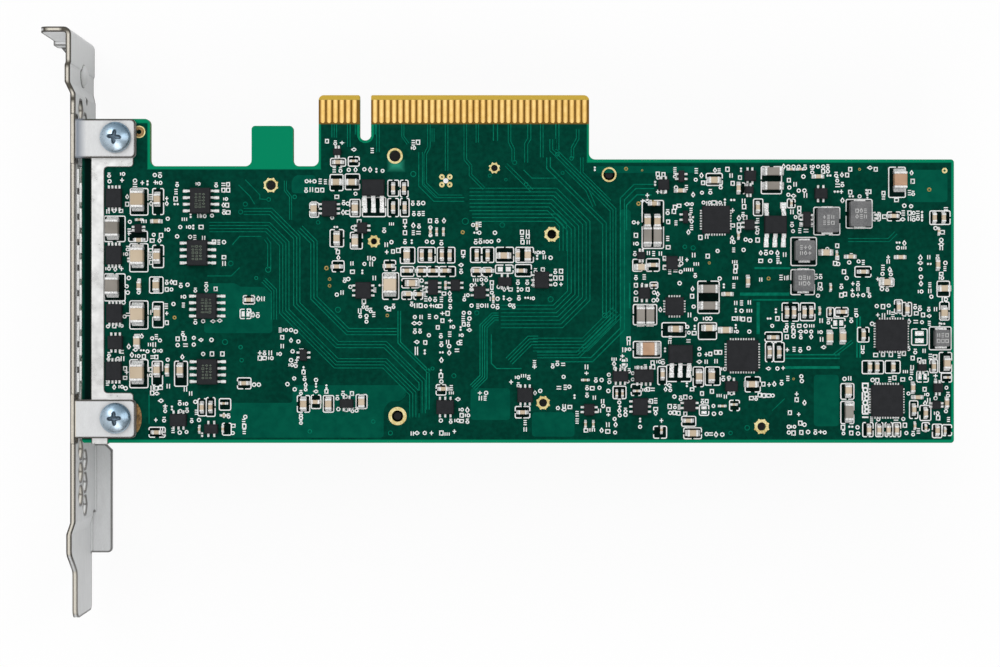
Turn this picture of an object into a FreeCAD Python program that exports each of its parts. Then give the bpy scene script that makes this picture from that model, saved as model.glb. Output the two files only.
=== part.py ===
import FreeCAD, Part
import math
import os

# Millimetres. The origin is the middle of the key notch on the contact edge, half way through the board.
# +X runs along the board away from the bracket, +Y out of the contact edge, +Z out of the solder side.
Vec = FreeCAD.Vector

# Board outline
BOARD_T = 1.57
BOARD_LENGTH = 167.65
BOARD_HEIGHT = 66.9
BOARD_LEFT = -54.5
BOARD_CORNER_R = 0.6
SHOULDER_TOP = -4.6
SHOULDER_END = -41.4
RECESS_Y = -13.7
PLAIN_TAB_LEFT = -21.9
PLAIN_TAB_RIGHT = -13.9
PLAIN_TAB_TOP = -5.94
PLAIN_TAB_R = 0.7
EDGE_LEFT = -9.0
EDGE_RIGHT = 43.0
RIGHT_RECESS_Y = -12.4
TIP_R = 1.0
ROOT_R = 1.2
KEY_WIDTH = 2.16
KEY_DEPTH = 8.8
KEY_LIP_R = 0.3
BEVEL_LENGTH = 0.95
BEVEL_DEPTH = 0.35

# Drilled holes in the board: x, y, diameter
PIN_HOLE_D = 2.2
TOOLING_HOLES = [
    (-18.19, -17.35, 1.92),
    (5.67, -11.73, 2.2),
    (24.79, -14.04, 1.26),
    (35.83, -26.79, 1.76),
    (34.15, -59.19, 1.54),
    (76.17, -63.75, 1.62),
    (1.63, -28.15, 1.2),
]

# Contact fingers
FINGER_W = 0.9
FINGER_T = 0.05
FINGER_END = -5.4
FINGER_CHAMFER = 0.28
FINGER_PITCH = 1.22
SHORT_FIRST_X = -8.2
SHORT_COUNT = 6
LONG_FIRST_X = 1.86
LONG_COUNT = 34

# Bracket sheet
SHEET_T = 1.0
BRACKET_W = 18.42
UPPER_W = 21.59
EDGE_GAP = 1.0
BEND_R = 0.4
FOLD_ROOT = 2.2
RELIEF_W = 0.8
JOG_R = 0.7
UPPER_JOG = 0.87
UPPER_JOG_LOW = 0.2
UPPER_JOG_HIGH = 2.4
BUMP_STEP = 0.2
BUMP_LOW = 5.7
BUMP_HIGH = 6.15
TAB_TOP = 12.97
TAB_REACH = 5.0
TAB_CORNER_R = 1.5
PRONG_REACH = 6.4
PRONG_R = 0.8
GUSSET_DROP = 6.6
SLOT_W = 4.42
SLOT_FROM_NEAR = 15.4
SLOT_DEPTH = 3.75
LOWER_JOG = 0.75
LOWER_JOG_HIGH = -82.2
LOWER_JOG_LOW = -84.4
TAPER_HIGH = -88.3
TAPER_LOW = -92.2
TONGUE_INSET = 5.3
TONGUE_END = -101.3
TONGUE_R = 1.7
PLATE_CORNER_R = 1.3
EAR_REACH = 12.5
EAR_R = 0.9
UPPER_EAR = (-12.2, -4.76)
LOWER_EAR = (-65.95, -58.55)
FLANGE_REACH = 4.5
FLANGE_HIGH = -68.0
FLANGE_LOW = -89.8
FLANGE_CHAMFER = 1.3
FLANGE_R = 0.8
HEX_ACROSS = 3.6
HEX_WEB = 0.85
HEX_FIRST_ROW = 4.8
HEX_ROWS = 2
UPPER_HEX_Y = -2.4
UPPER_HEX_COLUMNS = 2
LOWER_HEX_Y = -68.4
LOWER_HEX_COLUMNS = 3
DIMPLE_R = 3.0
DIMPLE_H = 0.9
DIMPLE_Y = 5.0
DIMPLE_DEPTH = 11.6
POINT_HOLE_D = 1.1
POINT_HOLE_Y = -0.2
POINT_HOLE_DEPTH = 10.2

# Bracket screws, nuts and ground strap
SCREW_X = -47.8
UPPER_SCREW_Y = -8.3
LOWER_SCREW_Y = -62.1
SCREW_D = 2.9
SCREW_CLEARANCE = 0.15
HEAD_D = 5.9
HEAD_H = 1.9
HEAD_EDGE_H = 0.7
RECESS_SPAN = 3.4
RECESS_W = 1.0
RECESS_DEEP = 1.2
NUT_ACROSS = 5.5
NUT_H = 2.4
NUT_CLEARANCE = 0.05
STRAP_T = 0.25
STRAP_LEFT = -52.7
STRAP_RIGHT = -50.2
STRAP_ARM_END = -44.6
STRAP_UPPER = (-13.85, -6.0)
STRAP_LOWER = (-64.2, -57.25)
STRAP_R = 0.7
STRAP_TAB = (-52.6, -49.5)
STRAP_TAB_DROP = 1.4

# Port cage, receptacles and gasket
PORT_COUNT = 4
PORT_PITCH = 11.1
PORT_MID_Y = -36.35
CAGE_WALL = 0.4
CAGE_HEIGHT = 11.2
CAGE_LENGTH = 36.0
CAGE_CLEARANCE = 0.35
LATCH_W = 5.0
LATCH_L = 2.6
LATCH_SETBACK = 4.6
SOCKET_LENGTH = 15.0
SOCKET_SIDE_GAP = 0.15
SOCKET_TOP_GAP = 0.8
SLIT_W = 8.4
SLIT_H = 1.5
SLIT_DEEP = 6.5
SLIT_SPACING = 4.6
BLADE_COUNT = 9
BLADE_PITCH = 0.8
BLADE_W = 0.34
BLADE_H = 0.2
BLADE_L = 5.0
GASKET_T = 0.2
GASKET_GAP = 0.05
CURL_R = 0.42
CURL_PITCH = 4.15
CURL_L = 3.3

# Controller, thermal pad, heat sink, pins and springs
CHIP_SIZE = 21.0
CHIP_BASE_H = 1.1
CHIP_LID_SIZE = 17.0
CHIP_LID_H = 1.3
PAD_SIZE = 16.0
PAD_T = 0.5
SINK_SIZE = 40.0
SINK_R = 1.0
SINK_BASE_H = 3.0
SINK_LUG_R = 3.2
FIN_COUNT = 10
FIN_T = 1.2
FIN_H = 7.2
PINS = [(46.85, -15.31), (6.17, -61.75)]
PIN_TIP_D = 2.0
PIN_TIP_RECESS = 0.35
PIN_TIP_CHAMFER = 0.3
PIN_D = 3.0
PIN_CLEARANCE = 0.15
PIN_HEAD_D = 5.4
PIN_HEAD_H = 1.0
SPRING_ROOM = 3.0

# Leaded and leadless chips on the solder side: x, y, then size along x and y where it isn't shared
SO8_X = 3.9
SO8_Y = 4.9
SO8_H = 1.5
SO8_PITCH = 1.27
SO8_LEAD_W = 0.42
SO8_LEAD_REACH = 1.05
SO8_PLACES = [(-31.6, -20.4), (-32.2, -30.4), (-30.4, -40.6), (-30.3, -53.2)]
FLASH_PLACE = (62.0, -24.0)
DFN_X = 3.0
DFN_Y = 3.6
DFN_H = 0.9
DFN_PLACES = [(-48.3, -19.85), (-48.3, -30.8), (-48.2, -42.0), (-48.3, -53.05)]
QFN_H = 0.9
QFN_PLACES = [
    (67.35, -24.0, 5.3),
    (59.4, -40.65, 3.5),
    (72.45, -50.15, 6.0),
    (101.1, -46.2, 6.0),
    (100.2, -58.8, 6.1),
]
FET_H = 1.7
FET_LEAD_W = 0.8
FET_LEAD_SPREAD = 1.65
# Transistors: x, y, size along x and y, reach of the leads below and above the body
FET_PLACES = [
    (1.55, -17.9, 4.3, 3.1, 2.7, 0),
    (60.5, -49.8, 4.6, 3.5, 2.3, 0),
    (78.7, -25.0, 4.2, 3.4, 2.1, 2.0),
]
LEAD_T = 0.2
SMALL_CHIP_H = 1.0
SMALL_CHIP_PLACES = [
    (-43.6, -25.7, 1.3, 1.6),
    (-48.0, -47.6, 2.8, 2.6),
    (-35.9, -62.5, 3.2, 2.4),
    (-29.6, -64.2, 2.6, 1.8),
    (-6.9, -21.9, 2.8, 3.0),
    (-5.4, -11.0, 1.5, 1.2),
    (-0.6, -25.6, 1.9, 2.1),
    (-0.4, -37.6, 3.0, 3.2),
    (13.0, -37.0, 1.9, 2.9),
    (17.3, -36.6, 1.8, 2.2),
    (26.8, -35.9, 2.6, 1.7),
    (22.0, -38.0, 2.3, 2.4),
    (33.9, -35.6, 2.8, 3.2),
    (15.35, -60.0, 3.4, 2.7),
    (-3.6, -59.3, 2.6, 1.7),
    (-11.9, -50.0, 1.4, 2.2),
    (30.7, -57.7, 3.0, 2.8),
    (57.3, -17.3, 2.1, 2.0),
    (60.7, -15.7, 1.1, 2.2),
    (61.5, -23.5, 1.0, 2.4),
    (53.0, -30.9, 1.5, 1.4),
    (58.9, -32.3, 2.2, 2.6),
    (53.6, -38.1, 2.2, 2.2),
    (53.5, -54.0, 3.7, 2.5),
    (49.0, -54.1, 3.0, 2.0),
    (52.8, -59.9, 2.9, 3.3),
    (43.0, -60.5, 2.0, 2.2),
    (62.3, -59.7, 2.2, 2.3),
    (73.9, -15.6, 2.2, 2.0),
    (73.7, -18.3, 1.6, 1.4),
    (73.8, -25.0, 1.9, 2.0),
    (87.5, -19.0, 2.4, 2.0),
    (84.8, -24.0, 1.4, 3.0),
    (70.3, -56.0, 2.4, 2.0),
    (106.9, -52.4, 1.6, 1.3),
    (110.0, -56.3, 1.7, 1.7),
    (109.7, -59.6, 1.5, 1.6),
]
CHIP_CHAMFER = 0.15

# Moulded inductors: x, y, size along x and y
INDUCTOR_H = 2.0
INDUCTOR_CHAMFER = 0.2
INDUCTOR_PLACES = [
    (88.7, -24.15, 4.0, 4.6),
    (94.95, -22.95, 4.0, 4.8),
    (84.3, -29.95, 3.7, 3.8),
    (84.1, -35.75, 3.8, 4.0),
    (110.55, -46.75, 2.7, 3.2),
]

# Ceramic capacitors by case size: length, width, height and, on the larger ones, end width, then places
# given as x, y and turn about +Z
BIG_CAP = (3.2, 2.5, 1.7, 0.5)
BIG_CAP_PLACES = [
    (-43.75, -20.1, 90),
    (-43.75, -31.0, 90),
    (-43.75, -42.15, 90),
    (-43.8, -53.35, 90),
    (-48.55, -25.6, 90),
    (-48.6, -36.7, 90),
    (4.75, -36.5, 90),
    (102.65, -16.4, 90),
    (54.35, -48.8, 0),
]
LONG_CAP = (3.2, 1.6, 1.2, 0.45)
LONG_CAP_PLACES = [
    (54.2, -27.1, 90),
    (56.1, -27.1, 90),
    (78.3, -14.75, 0),
    (78.3, -17.5, 0),
    (52.9, -42.4, 90),
    (54.7, -42.4, 90),
    (92.9, -60.9, 90),
    (66.0, -37.3, 0),
    (66.0, -40.5, 0),
]
MID_CAP = (2.0, 1.25, 0.9)
MID_CAP_PLACES = [
    (-40.0, -20.05, 90),
    (-40.05, -31.0, 90),
    (-40.0, -41.95, 90),
    (-40.05, -52.85, 90),
    (-43.9, -47.4, 90),
    (-35.6, -52.9, 90),
    (-9.9, -21.9, 90),
    (-2.0, -28.2, 90),
    (-5.6, -16.8, 0),
    (-2.6, -16.8, 0),
    (9.0, -36.2, 0),
    (7.95, -30.85, 90),
    (26.6, -30.9, 0),
    (31.2, -30.8, 90),
    (54.2, -24.3, 90),
    (56.1, -24.3, 90),
    (67.0, -16.4, 0),
    (66.0, -44.8, 0),
    (59.6, -45.0, 0),
    (53.0, -33.1, 0),
    (69.2, -45.2, 0),
    (64.1, -54.1, 90),
    (66.5, -54.0, 90),
    (74.2, -55.6, 0),
    (62.9, -65.0, 0),
    (92.8, -56.8, 90),
    (100.2, -36.0, 0),
    (111.2, -37.2, 0),
    (111.2, -41.9, 90),
    (111.75, -51.6, 90),
    (-5.5, -27.55, 90),
    (-2.0, -21.75, 90),
    (89.2, -46.6, 90),
    (91.7, -46.5, 90),
    (88.5, -30.3, 0),
    (-11.9, -59.4, 90),
    (-7.1, -59.4, 90),
    (-0.75, -59.0, 90),
    (-40.2, -36.6, 90),
]
SMALL_CAP = (1.6, 0.8, 0.75)
SMALL_CAP_PLACES = [
    (10.85, -30.8, 90),
    (12.45, -30.8, 90),
    (14.7, -30.8, 90),
    (16.2, -30.8, 90),
    (21.4, -30.8, 90),
    (23.5, -30.8, 90),
    (29.3, -30.8, 90),
    (8.0, -33.8, 0),
    (10.7, -33.8, 0),
    (13.0, -33.8, 0),
    (15.3, -33.8, 0),
    (21.4, -33.8, 0),
    (23.6, -33.8, 0),
    (29.9, -33.8, 0),
    (-43.5, -36.7, 90),
    (-43.5, -27.9, 0),
    (-40.2, -24.3, 0),
    (-23.3, -55.4, 0),
    (-5.5, -33.0, 0),
    (4.5, -32.9, 0),
    (8.3, -38.3, 0),
    (10.4, -38.3, 0),
    (57.1, -53.7, 90),
    (75.4, -21.6, 90),
    (78.4, -46.6, 0),
    (91.7, -41.7, 0),
    (101.5, -23.3, 0),
    (102.8, -31.2, 0),
    (87.0, -15.7, 0),
    (62.0, -62.6, 0),
    (55.5, -20.9, 0),
    (69.6, -38.3, 0),
    (109.2, -52.2, 90),
    (15.0, -56.5, 0),
    (-9.6, -59.0, 0),
    (-38.1, -52.9, 90),
    (-40.1, -64.85, 0),
    (-31.4, -60.05, 90),
    (-29.75, -60.0, 90),
    (-5.25, -12.95, 0),
    (5.35, -17.95, 90),
    (7.45, -18.0, 90),
    (5.35, -21.65, 90),
    (7.55, -21.65, 90),
    (30.2, -61.0, 0),
    (79.5, -49.45, 90),
    (77.65, -49.45, 90),
    (95.65, -34.0, 0),
    (95.7, -46.1, 90),
    (101.4, -52.3, 90),
    (96.9, -52.3, 90),
    (98.3, -52.3, 90),
    (105.4, -60.5, 90),
    (107.65, -61.15, 90),
    (105.2, -56.3, 90),
    (106.1, -58.1, 0),
    (96.75, -64.4, 90),
    (98.7, -64.4, 90),
    (100.5, -64.4, 90),
    (102.1, -64.4, 90),
    (102.45, -40.8, 90),
    (104.1, -41.2, 90),
    (81.0, -41.8, 90),
    (82.35, -41.8, 90),
    (84.35, -41.75, 90),
    (85.65, -41.75, 90),
    (109.35, -23.6, 90),
    (111.1, -23.6, 90),
    (110.0, -32.6, 90),
    (60.5, -18.4, 0),
    (71.7, -17.9, 90),
    (73.5, -35.8, 90),
    (111.7, -59.2, 90),
    (-22.4, -39.4, 0),
    (55.3, -32.7, 0),
    (93.2, -31.1, 0),
    (109.9, -64.5, 90),
]
TINY_CAP = (1.0, 0.5, 0.5)
TINY_CAP_PLACES = [
    (-2.3, -12.7, 0),
    (-27.2, -59.3, 0),
    (-27.2, -61.6, 0),
    (-31.9, -64.3, 90),
    (-27.4, -64.2, 90),
    (12.5, -26.3, 90),
    (13.7, -26.3, 90),
    (15.0, -26.3, 90),
    (15.4, -36.6, 90),
    (21.4, -25.2, 90),
    (24.6, -39.2, 90),
    (42.3, -54.8, 0),
    (42.3, -63.3, 90),
    (43.8, -63.3, 90),
    (48.3, -57.4, 90),
    (49.4, -57.4, 90),
    (52.2, -56.9, 0),
    (56.9, -64.4, 90),
    (68.6, -59.8, 0),
    (70.8, -59.5, 0),
    (71.7, -27.0, 90),
    (89.4, -37.0, 90),
    (87.3, -41.5, 90),
    (89.3, -41.6, 90),
    (90.6, -30.7, 90),
    (105.6, -63.6, 90),
    (107.7, -64.0, 90),
    (111.4, -64.6, 90),
    (111.9, -54.3, 0),
    (110.2, -26.2, 90),
    (-43.5, -24.0, 0),
    (55.45, -36.6, 0),
    (81.8, -14.3, 0),
    (83.6, -14.3, 0),
    (81.85, -20.85, 90),
]

# Component side: coupling capacitors behind the contact edge and the clock can
COUPLING_COUNT = 16
COUPLING_FIRST_X = 3.6
COUPLING_PITCH = 2.4
COUPLING_Y = -8.9
CLOCK_PLACE = (72.0, -42.0)
CLOCK_X = 5.0
CLOCK_Y = 3.2
CLOCK_H = 1.2

# Faces and edges that the sizes above lead to
SOLDER_Z = BOARD_T / 2
COMPONENT_Z = -BOARD_T / 2
BOARD_RIGHT = BOARD_LEFT + BOARD_LENGTH
BOARD_LOW = -BOARD_HEIGHT
EAR_Z = SOLDER_Z + STRAP_T
NEAR_Z = EAR_Z + SHEET_T
FAR_Z = NEAR_Z - BRACKET_W
UPPER_FAR_Z = NEAR_Z - UPPER_W
PLATE_IN = BOARD_LEFT - EDGE_GAP
PLATE_OUT = PLATE_IN - SHEET_T
EAR_TIP = PLATE_OUT + EAR_REACH
CAGE_HALF_W = (PORT_COUNT * PORT_PITCH + CAGE_WALL) / 2
CAGE_HIGH_Y = PORT_MID_Y + CAGE_HALF_W
CAGE_LOW_Y = PORT_MID_Y - CAGE_HALF_W
CAGE_FAR_Z = COMPONENT_Z - CAGE_HEIGHT
CAGE_BACK = PLATE_OUT + CAGE_LENGTH
CHIP_X = (PINS[0][0] + PINS[1][0]) / 2
CHIP_Y = (PINS[0][1] + PINS[1][1]) / 2
CHIP_FAR_Z = COMPONENT_Z - CHIP_BASE_H - CHIP_LID_H
SINK_NEAR_Z = CHIP_FAR_Z - PAD_T
SINK_FAR_Z = SINK_NEAR_Z - SINK_BASE_H
PIN_HEAD_Z = SINK_FAR_Z - SPRING_ROOM
SCREW_SPOTS = [(SCREW_X, UPPER_SCREW_Y), (SCREW_X, LOWER_SCREW_Y)]
SCREW_HOLE_R = SCREW_D / 2 + SCREW_CLEARANCE

# Turns that send a flat outline's own x, y and height to y, z, x and to z, x, y
FACING_X = FreeCAD.Rotation(Vec(1, 1, 1), 120)
FACING_Y = FreeCAD.Rotation(Vec(1, 1, 1), 240)
OVER = 1.0


def rounded_wire(corners):
    """Closed wire through corners given as x, y, radius."""
    rounds = []
    for i, (x, y, radius) in enumerate(corners):
        here = Vec(x, y, 0)
        last = corners[i - 1]
        following = corners[(i + 1) % len(corners)]
        back = (Vec(last[0], last[1], 0) - here).normalize()
        onward = (Vec(following[0], following[1], 0) - here).normalize()
        half = back.getAngle(onward) / 2
        reach = radius / math.tan(half)
        middle = here + (back + onward).normalize() * (radius / math.sin(half) - radius)
        rounds.append((here + back * reach, middle, here + onward * reach, radius))
    edges = []
    for i, (start, middle, end, radius) in enumerate(rounds):
        if radius > 0:
            edges.append(Part.Arc(start, middle, end).toShape())
        next_start = rounds[(i + 1) % len(rounds)][0]
        if end.distanceToPoint(next_start) > 1e-6:
            edges.append(Part.makeLine(end, next_start))
    return Part.Wire(edges)


def prism(corners, low, high):
    """Rounded outline in x, y raised from low to high along Z."""
    solid = Part.Face(rounded_wire(corners)).extrude(Vec(0, 0, high - low))
    solid.translate(Vec(0, 0, low))
    return solid


def prism_x(corners, low, high):
    """Rounded outline in y, z raised from low to high along X."""
    solid = prism(corners, low, high)
    solid.Placement = FreeCAD.Placement(Vec(), FACING_X) * solid.Placement
    return solid


def prism_y(corners, low, high):
    """Rounded outline in z, x raised from low to high along Y."""
    solid = prism(corners, low, high)
    solid.Placement = FreeCAD.Placement(Vec(), FACING_Y) * solid.Placement
    return solid


def rectangle(x_low, x_high, y_low, y_high, radius=0):
    low_side = [(x_low, y_low, radius), (x_high, y_low, radius)]
    return low_side + [(x_high, y_high, radius), (x_low, y_high, radius)]


def block(x_low, x_high, y_low, y_high, z_low, z_high):
    return Part.makeBox(x_high - x_low, y_high - y_low, z_high - z_low, Vec(x_low, y_low, z_low))


def post(x, y, radius, z_low, z_high):
    return Part.makeCylinder(radius, z_high - z_low, Vec(x, y, z_low))


def placed(solid, x, y, z, turn=0):
    """Copy of a solid modelled at the origin, turned about Z and moved to its place."""
    copy = solid.copy()
    copy.Placement = FreeCAD.Placement(Vec(x, y, z), FreeCAD.Rotation(Vec(0, 0, 1), turn)) * solid.Placement
    return copy


def underside(solid):
    """Solid modelled standing on the solder face, turned over to stand on the component face."""
    copy = solid.copy()
    copy.rotate(Vec(copy.BoundBox.Center.x, copy.BoundBox.Center.y, 0), Vec(0, 1, 0), 180)
    return copy


def moulded(length, width, height):
    """Chip body at the origin with its upper edges broken."""
    body = block(-length / 2, length / 2, -width / 2, width / 2, 0, height)
    upper = [e for e in body.Edges if e.BoundBox.ZMin > height - 1e-6]
    return body.makeChamfer(CHIP_CHAMFER, upper)


def gull_lead(reach, width, rise):
    """Lead at the origin, leaving a body face along +X at the given rise and standing on the board."""
    knee = reach * 0.35
    profile = [
        (rise, 0, 0),
        (rise, knee, 0),
        (LEAD_T, knee + LEAD_T, 0),
        (LEAD_T, reach, 0),
        (0, reach, 0),
        (0, knee, 0),
        (rise - LEAD_T, knee - LEAD_T, 0),
        (rise - LEAD_T, 0, 0),
    ]
    return prism_y(profile, -width / 2, width / 2)


def save(name, solids):
    shape = solids[0] if len(solids) == 1 else Part.makeCompound(solids)
    shape.exportStep("parts/" + name + ".step")


def circuit_board():
    key = KEY_WIDTH / 2
    outline = [
        (BOARD_LEFT, BOARD_LOW, BOARD_CORNER_R),
        (BOARD_RIGHT, BOARD_LOW, BOARD_CORNER_R),
        (BOARD_RIGHT, RIGHT_RECESS_Y, BOARD_CORNER_R),
        (EDGE_RIGHT, RIGHT_RECESS_Y, ROOT_R),
        (EDGE_RIGHT, 0, TIP_R),
        (key, 0, KEY_LIP_R),
        (key, -KEY_DEPTH, key * 0.98),
        (-key, -KEY_DEPTH, key * 0.98),
        (-key, 0, KEY_LIP_R),
        (EDGE_LEFT, 0, TIP_R),
        (EDGE_LEFT, RECESS_Y, ROOT_R),
        (PLAIN_TAB_RIGHT, RECESS_Y, ROOT_R),
        (PLAIN_TAB_RIGHT, PLAIN_TAB_TOP, PLAIN_TAB_R),
        (PLAIN_TAB_LEFT, PLAIN_TAB_TOP, PLAIN_TAB_R),
        (PLAIN_TAB_LEFT, RECESS_Y, ROOT_R),
        (SHOULDER_END, RECESS_Y, ROOT_R),
        (SHOULDER_END, SHOULDER_TOP, TIP_R),
        (BOARD_LEFT, SHOULDER_TOP, BOARD_CORNER_R),
    ]
    board = prism(outline, COMPONENT_Z, SOLDER_Z)
    cutters = [post(x, y, d / 2, COMPONENT_Z - OVER, SOLDER_Z + OVER) for x, y, d in TOOLING_HOLES]
    for x, y in PINS:
        cutters.append(post(x, y, PIN_HOLE_D / 2, COMPONENT_Z - OVER, SOLDER_Z + OVER))
    for x, y in SCREW_SPOTS:
        cutters.append(post(x, y, SCREW_HOLE_R, COMPONENT_Z - OVER, SOLDER_Z + OVER))
    for side in (1, -1):
        bevel = [
            (-BEVEL_LENGTH, side * SOLDER_Z, 0),
            (OVER, side * SOLDER_Z, 0),
            (OVER, side * (SOLDER_Z - BEVEL_DEPTH * (1 + OVER / BEVEL_LENGTH)), 0),
        ]
        cutters.append(prism_x(bevel, EDGE_LEFT - OVER, EDGE_RIGHT + OVER))
    return board.cut(cutters)


def contact_fingers():
    centres = [SHORT_FIRST_X + FINGER_PITCH * i for i in range(SHORT_COUNT)]
    centres += [LONG_FIRST_X + FINGER_PITCH * i for i in range(LONG_COUNT)]
    half = FINGER_W / 2
    outline = [
        (-half + FINGER_CHAMFER, FINGER_END, 0),
        (half - FINGER_CHAMFER, FINGER_END, 0),
        (half, FINGER_END + FINGER_CHAMFER, 0),
        (half, -BEVEL_LENGTH, 0),
        (-half, -BEVEL_LENGTH, 0),
        (-half, FINGER_END + FINGER_CHAMFER, 0),
    ]
    pad = prism(outline, 0, FINGER_T)
    near = [placed(pad, x, 0, SOLDER_Z) for x in centres]
    far = [placed(pad, x, 0, COMPONENT_Z - FINGER_T) for x in centres]
    return near + far


def fold(out_x, in_x, tip_x, edge_z, way, y_low, y_high):
    """Sheet folded from the plate over its edge at edge_z towards tip_x; way is +1 for the near edge."""
    profile = [
        (edge_z - way * FOLD_ROOT, out_x, 0),
        (edge_z, out_x, SHEET_T + BEND_R),
        (edge_z, tip_x, 0),
        (edge_z - way * SHEET_T, tip_x, 0),
        (edge_z - way * SHEET_T, in_x, BEND_R),
        (edge_z - way * FOLD_ROOT, in_x, 0),
    ]
    return prism_y(profile, y_low, y_high)


def fold_room(edge_z, way, y_low, y_high):
    """Room cut from the plate's edge for a fold and its bend."""
    z_ends = sorted((edge_z - way * FOLD_ROOT, edge_z + way * OVER))
    x_ends = (PLATE_OUT - LOWER_JOG - OVER, PLATE_IN + OVER)
    return block(x_ends[0], x_ends[1], y_low, y_high, z_ends[0], z_ends[1])


def hex_vents(first_y, columns):
    """Staggered rows of vents, from first_y towards the tongue."""
    pitch = HEX_ACROSS + HEX_WEB
    radius = HEX_ACROSS / math.sqrt(3)
    vents = []
    for row in range(HEX_ROWS):
        z = NEAR_Z - HEX_FIRST_ROW - row * pitch * math.sin(math.radians(60))
        for column in range(columns):
            y = first_y - pitch * (column + 0.5 * (row % 2))
            corners = []
            for corner in range(6):
                angle = math.radians(60 * corner + 30)
                corners.append((y + radius * math.cos(angle), z + radius * math.sin(angle), 0))
            vents.append(prism_x(corners, PLATE_OUT - OVER, PLATE_IN + OVER))
    return vents


def bracket():
    upper_in = PLATE_IN - UPPER_JOG
    upper_out = PLATE_OUT - UPPER_JOG
    lower_in = PLATE_IN - LOWER_JOG
    lower_out = PLATE_OUT - LOWER_JOG
    tab_tip = upper_out - TAB_REACH
    prong_tip = upper_out - PRONG_REACH
    profile = [
        (lower_in, TONGUE_END, 0),
        (lower_in, LOWER_JOG_LOW, JOG_R),
        (PLATE_IN, LOWER_JOG_HIGH, JOG_R),
        (PLATE_IN, UPPER_JOG_LOW, JOG_R),
        (upper_in - BUMP_STEP, UPPER_JOG_HIGH, JOG_R),
        (upper_in - BUMP_STEP, BUMP_LOW, JOG_R),
        (upper_in, BUMP_HIGH, JOG_R),
        (upper_in, TAB_TOP, SHEET_T + BEND_R),
        (prong_tip, TAB_TOP, 0),
        (prong_tip, TAB_TOP - SHEET_T, 0),
        (upper_out, TAB_TOP - SHEET_T, BEND_R),
        (upper_out, BUMP_HIGH, JOG_R),
        (upper_out - BUMP_STEP, BUMP_LOW, JOG_R),
        (upper_out - BUMP_STEP, UPPER_JOG_HIGH, JOG_R),
        (PLATE_OUT, UPPER_JOG_LOW, JOG_R),
        (PLATE_OUT, LOWER_JOG_HIGH, JOG_R),
        (lower_out, LOWER_JOG_LOW, JOG_R),
        (lower_out, TONGUE_END, 0),
    ]
    sheet = prism(profile, UPPER_FAR_Z, NEAR_Z)
    tongue_z = NEAR_Z - TONGUE_INSET
    silhouette = [
        (TAB_TOP + OVER, NEAR_Z, 0),
        (TAPER_HIGH, NEAR_Z, TONGUE_R),
        (TAPER_LOW, tongue_z, TONGUE_R),
        (TONGUE_END, tongue_z, TONGUE_R),
        (TONGUE_END, FAR_Z, PLATE_CORNER_R),
        (UPPER_JOG_LOW, FAR_Z, JOG_R),
        (UPPER_JOG_HIGH, UPPER_FAR_Z, JOG_R),
        (TAB_TOP + OVER, UPPER_FAR_Z, 0),
    ]
    sheet = sheet.common(prism_x(silhouette, prong_tip - OVER, PLATE_IN + OVER))

    slot_z = NEAR_Z - SLOT_FROM_NEAR
    slot = [
        (slot_z - SLOT_W / 2, prong_tip - OVER, 0),
        (slot_z + SLOT_W / 2, prong_tip - OVER, 0),
        (slot_z + SLOT_W / 2, tab_tip + SLOT_DEPTH, SLOT_W / 2 * 0.98),
        (slot_z - SLOT_W / 2, tab_tip + SLOT_DEPTH, SLOT_W / 2 * 0.98),
    ]
    tab_plan = [
        (UPPER_FAR_Z, PLATE_IN + OVER, 0),
        (NEAR_Z, PLATE_IN + OVER, 0),
        (NEAR_Z, tab_tip, TAB_CORNER_R),
        (slot_z, tab_tip, 0),
        (slot_z, prong_tip, 0),
        (UPPER_FAR_Z, prong_tip, PRONG_R),
    ]
    reach_y = (TONGUE_END - OVER, TAB_TOP + OVER)
    sheet = sheet.common(prism_y(tab_plan, reach_y[0], reach_y[1]))
    cutters = [prism_y(slot, TAB_TOP - 2 * SHEET_T, TAB_TOP + OVER)]

    opening = [
        (CAGE_LOW_Y - CAGE_CLEARANCE, CAGE_FAR_Z - CAGE_CLEARANCE),
        (CAGE_HIGH_Y + CAGE_CLEARANCE, COMPONENT_Z + CAGE_CLEARANCE),
    ]
    port_window = prism_x(rectangle(opening[0][0], opening[1][0], opening[0][1], opening[1][1]),
                          PLATE_OUT - OVER, PLATE_IN + OVER)
    corners = [e for e in port_window.Edges if e.BoundBox.XLength > SHEET_T]
    cutters.append(port_window.makeChamfer(CAGE_CLEARANCE, corners))
    cutters += hex_vents(UPPER_HEX_Y, UPPER_HEX_COLUMNS)
    cutters += hex_vents(LOWER_HEX_Y, LOWER_HEX_COLUMNS)
    point = prism_x(rectangle(-POINT_HOLE_D / 2, POINT_HOLE_D / 2, -POINT_HOLE_D / 2, POINT_HOLE_D / 2,
                              POINT_HOLE_D * 0.45), PLATE_OUT - OVER, PLATE_IN + OVER)
    point.translate(Vec(0, POINT_HOLE_Y, NEAR_Z - POINT_HOLE_DEPTH))
    cutters.append(point)

    ears = [UPPER_EAR, LOWER_EAR]
    flange_turn = LOWER_JOG_HIGH + JOG_R
    for low, high in ears:
        cutters.append(fold_room(NEAR_Z, 1, low - RELIEF_W, high + RELIEF_W))
    cutters.append(fold_room(FAR_Z, -1, FLANGE_LOW, FLANGE_HIGH))
    sheet = sheet.cut(cutters)

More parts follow.
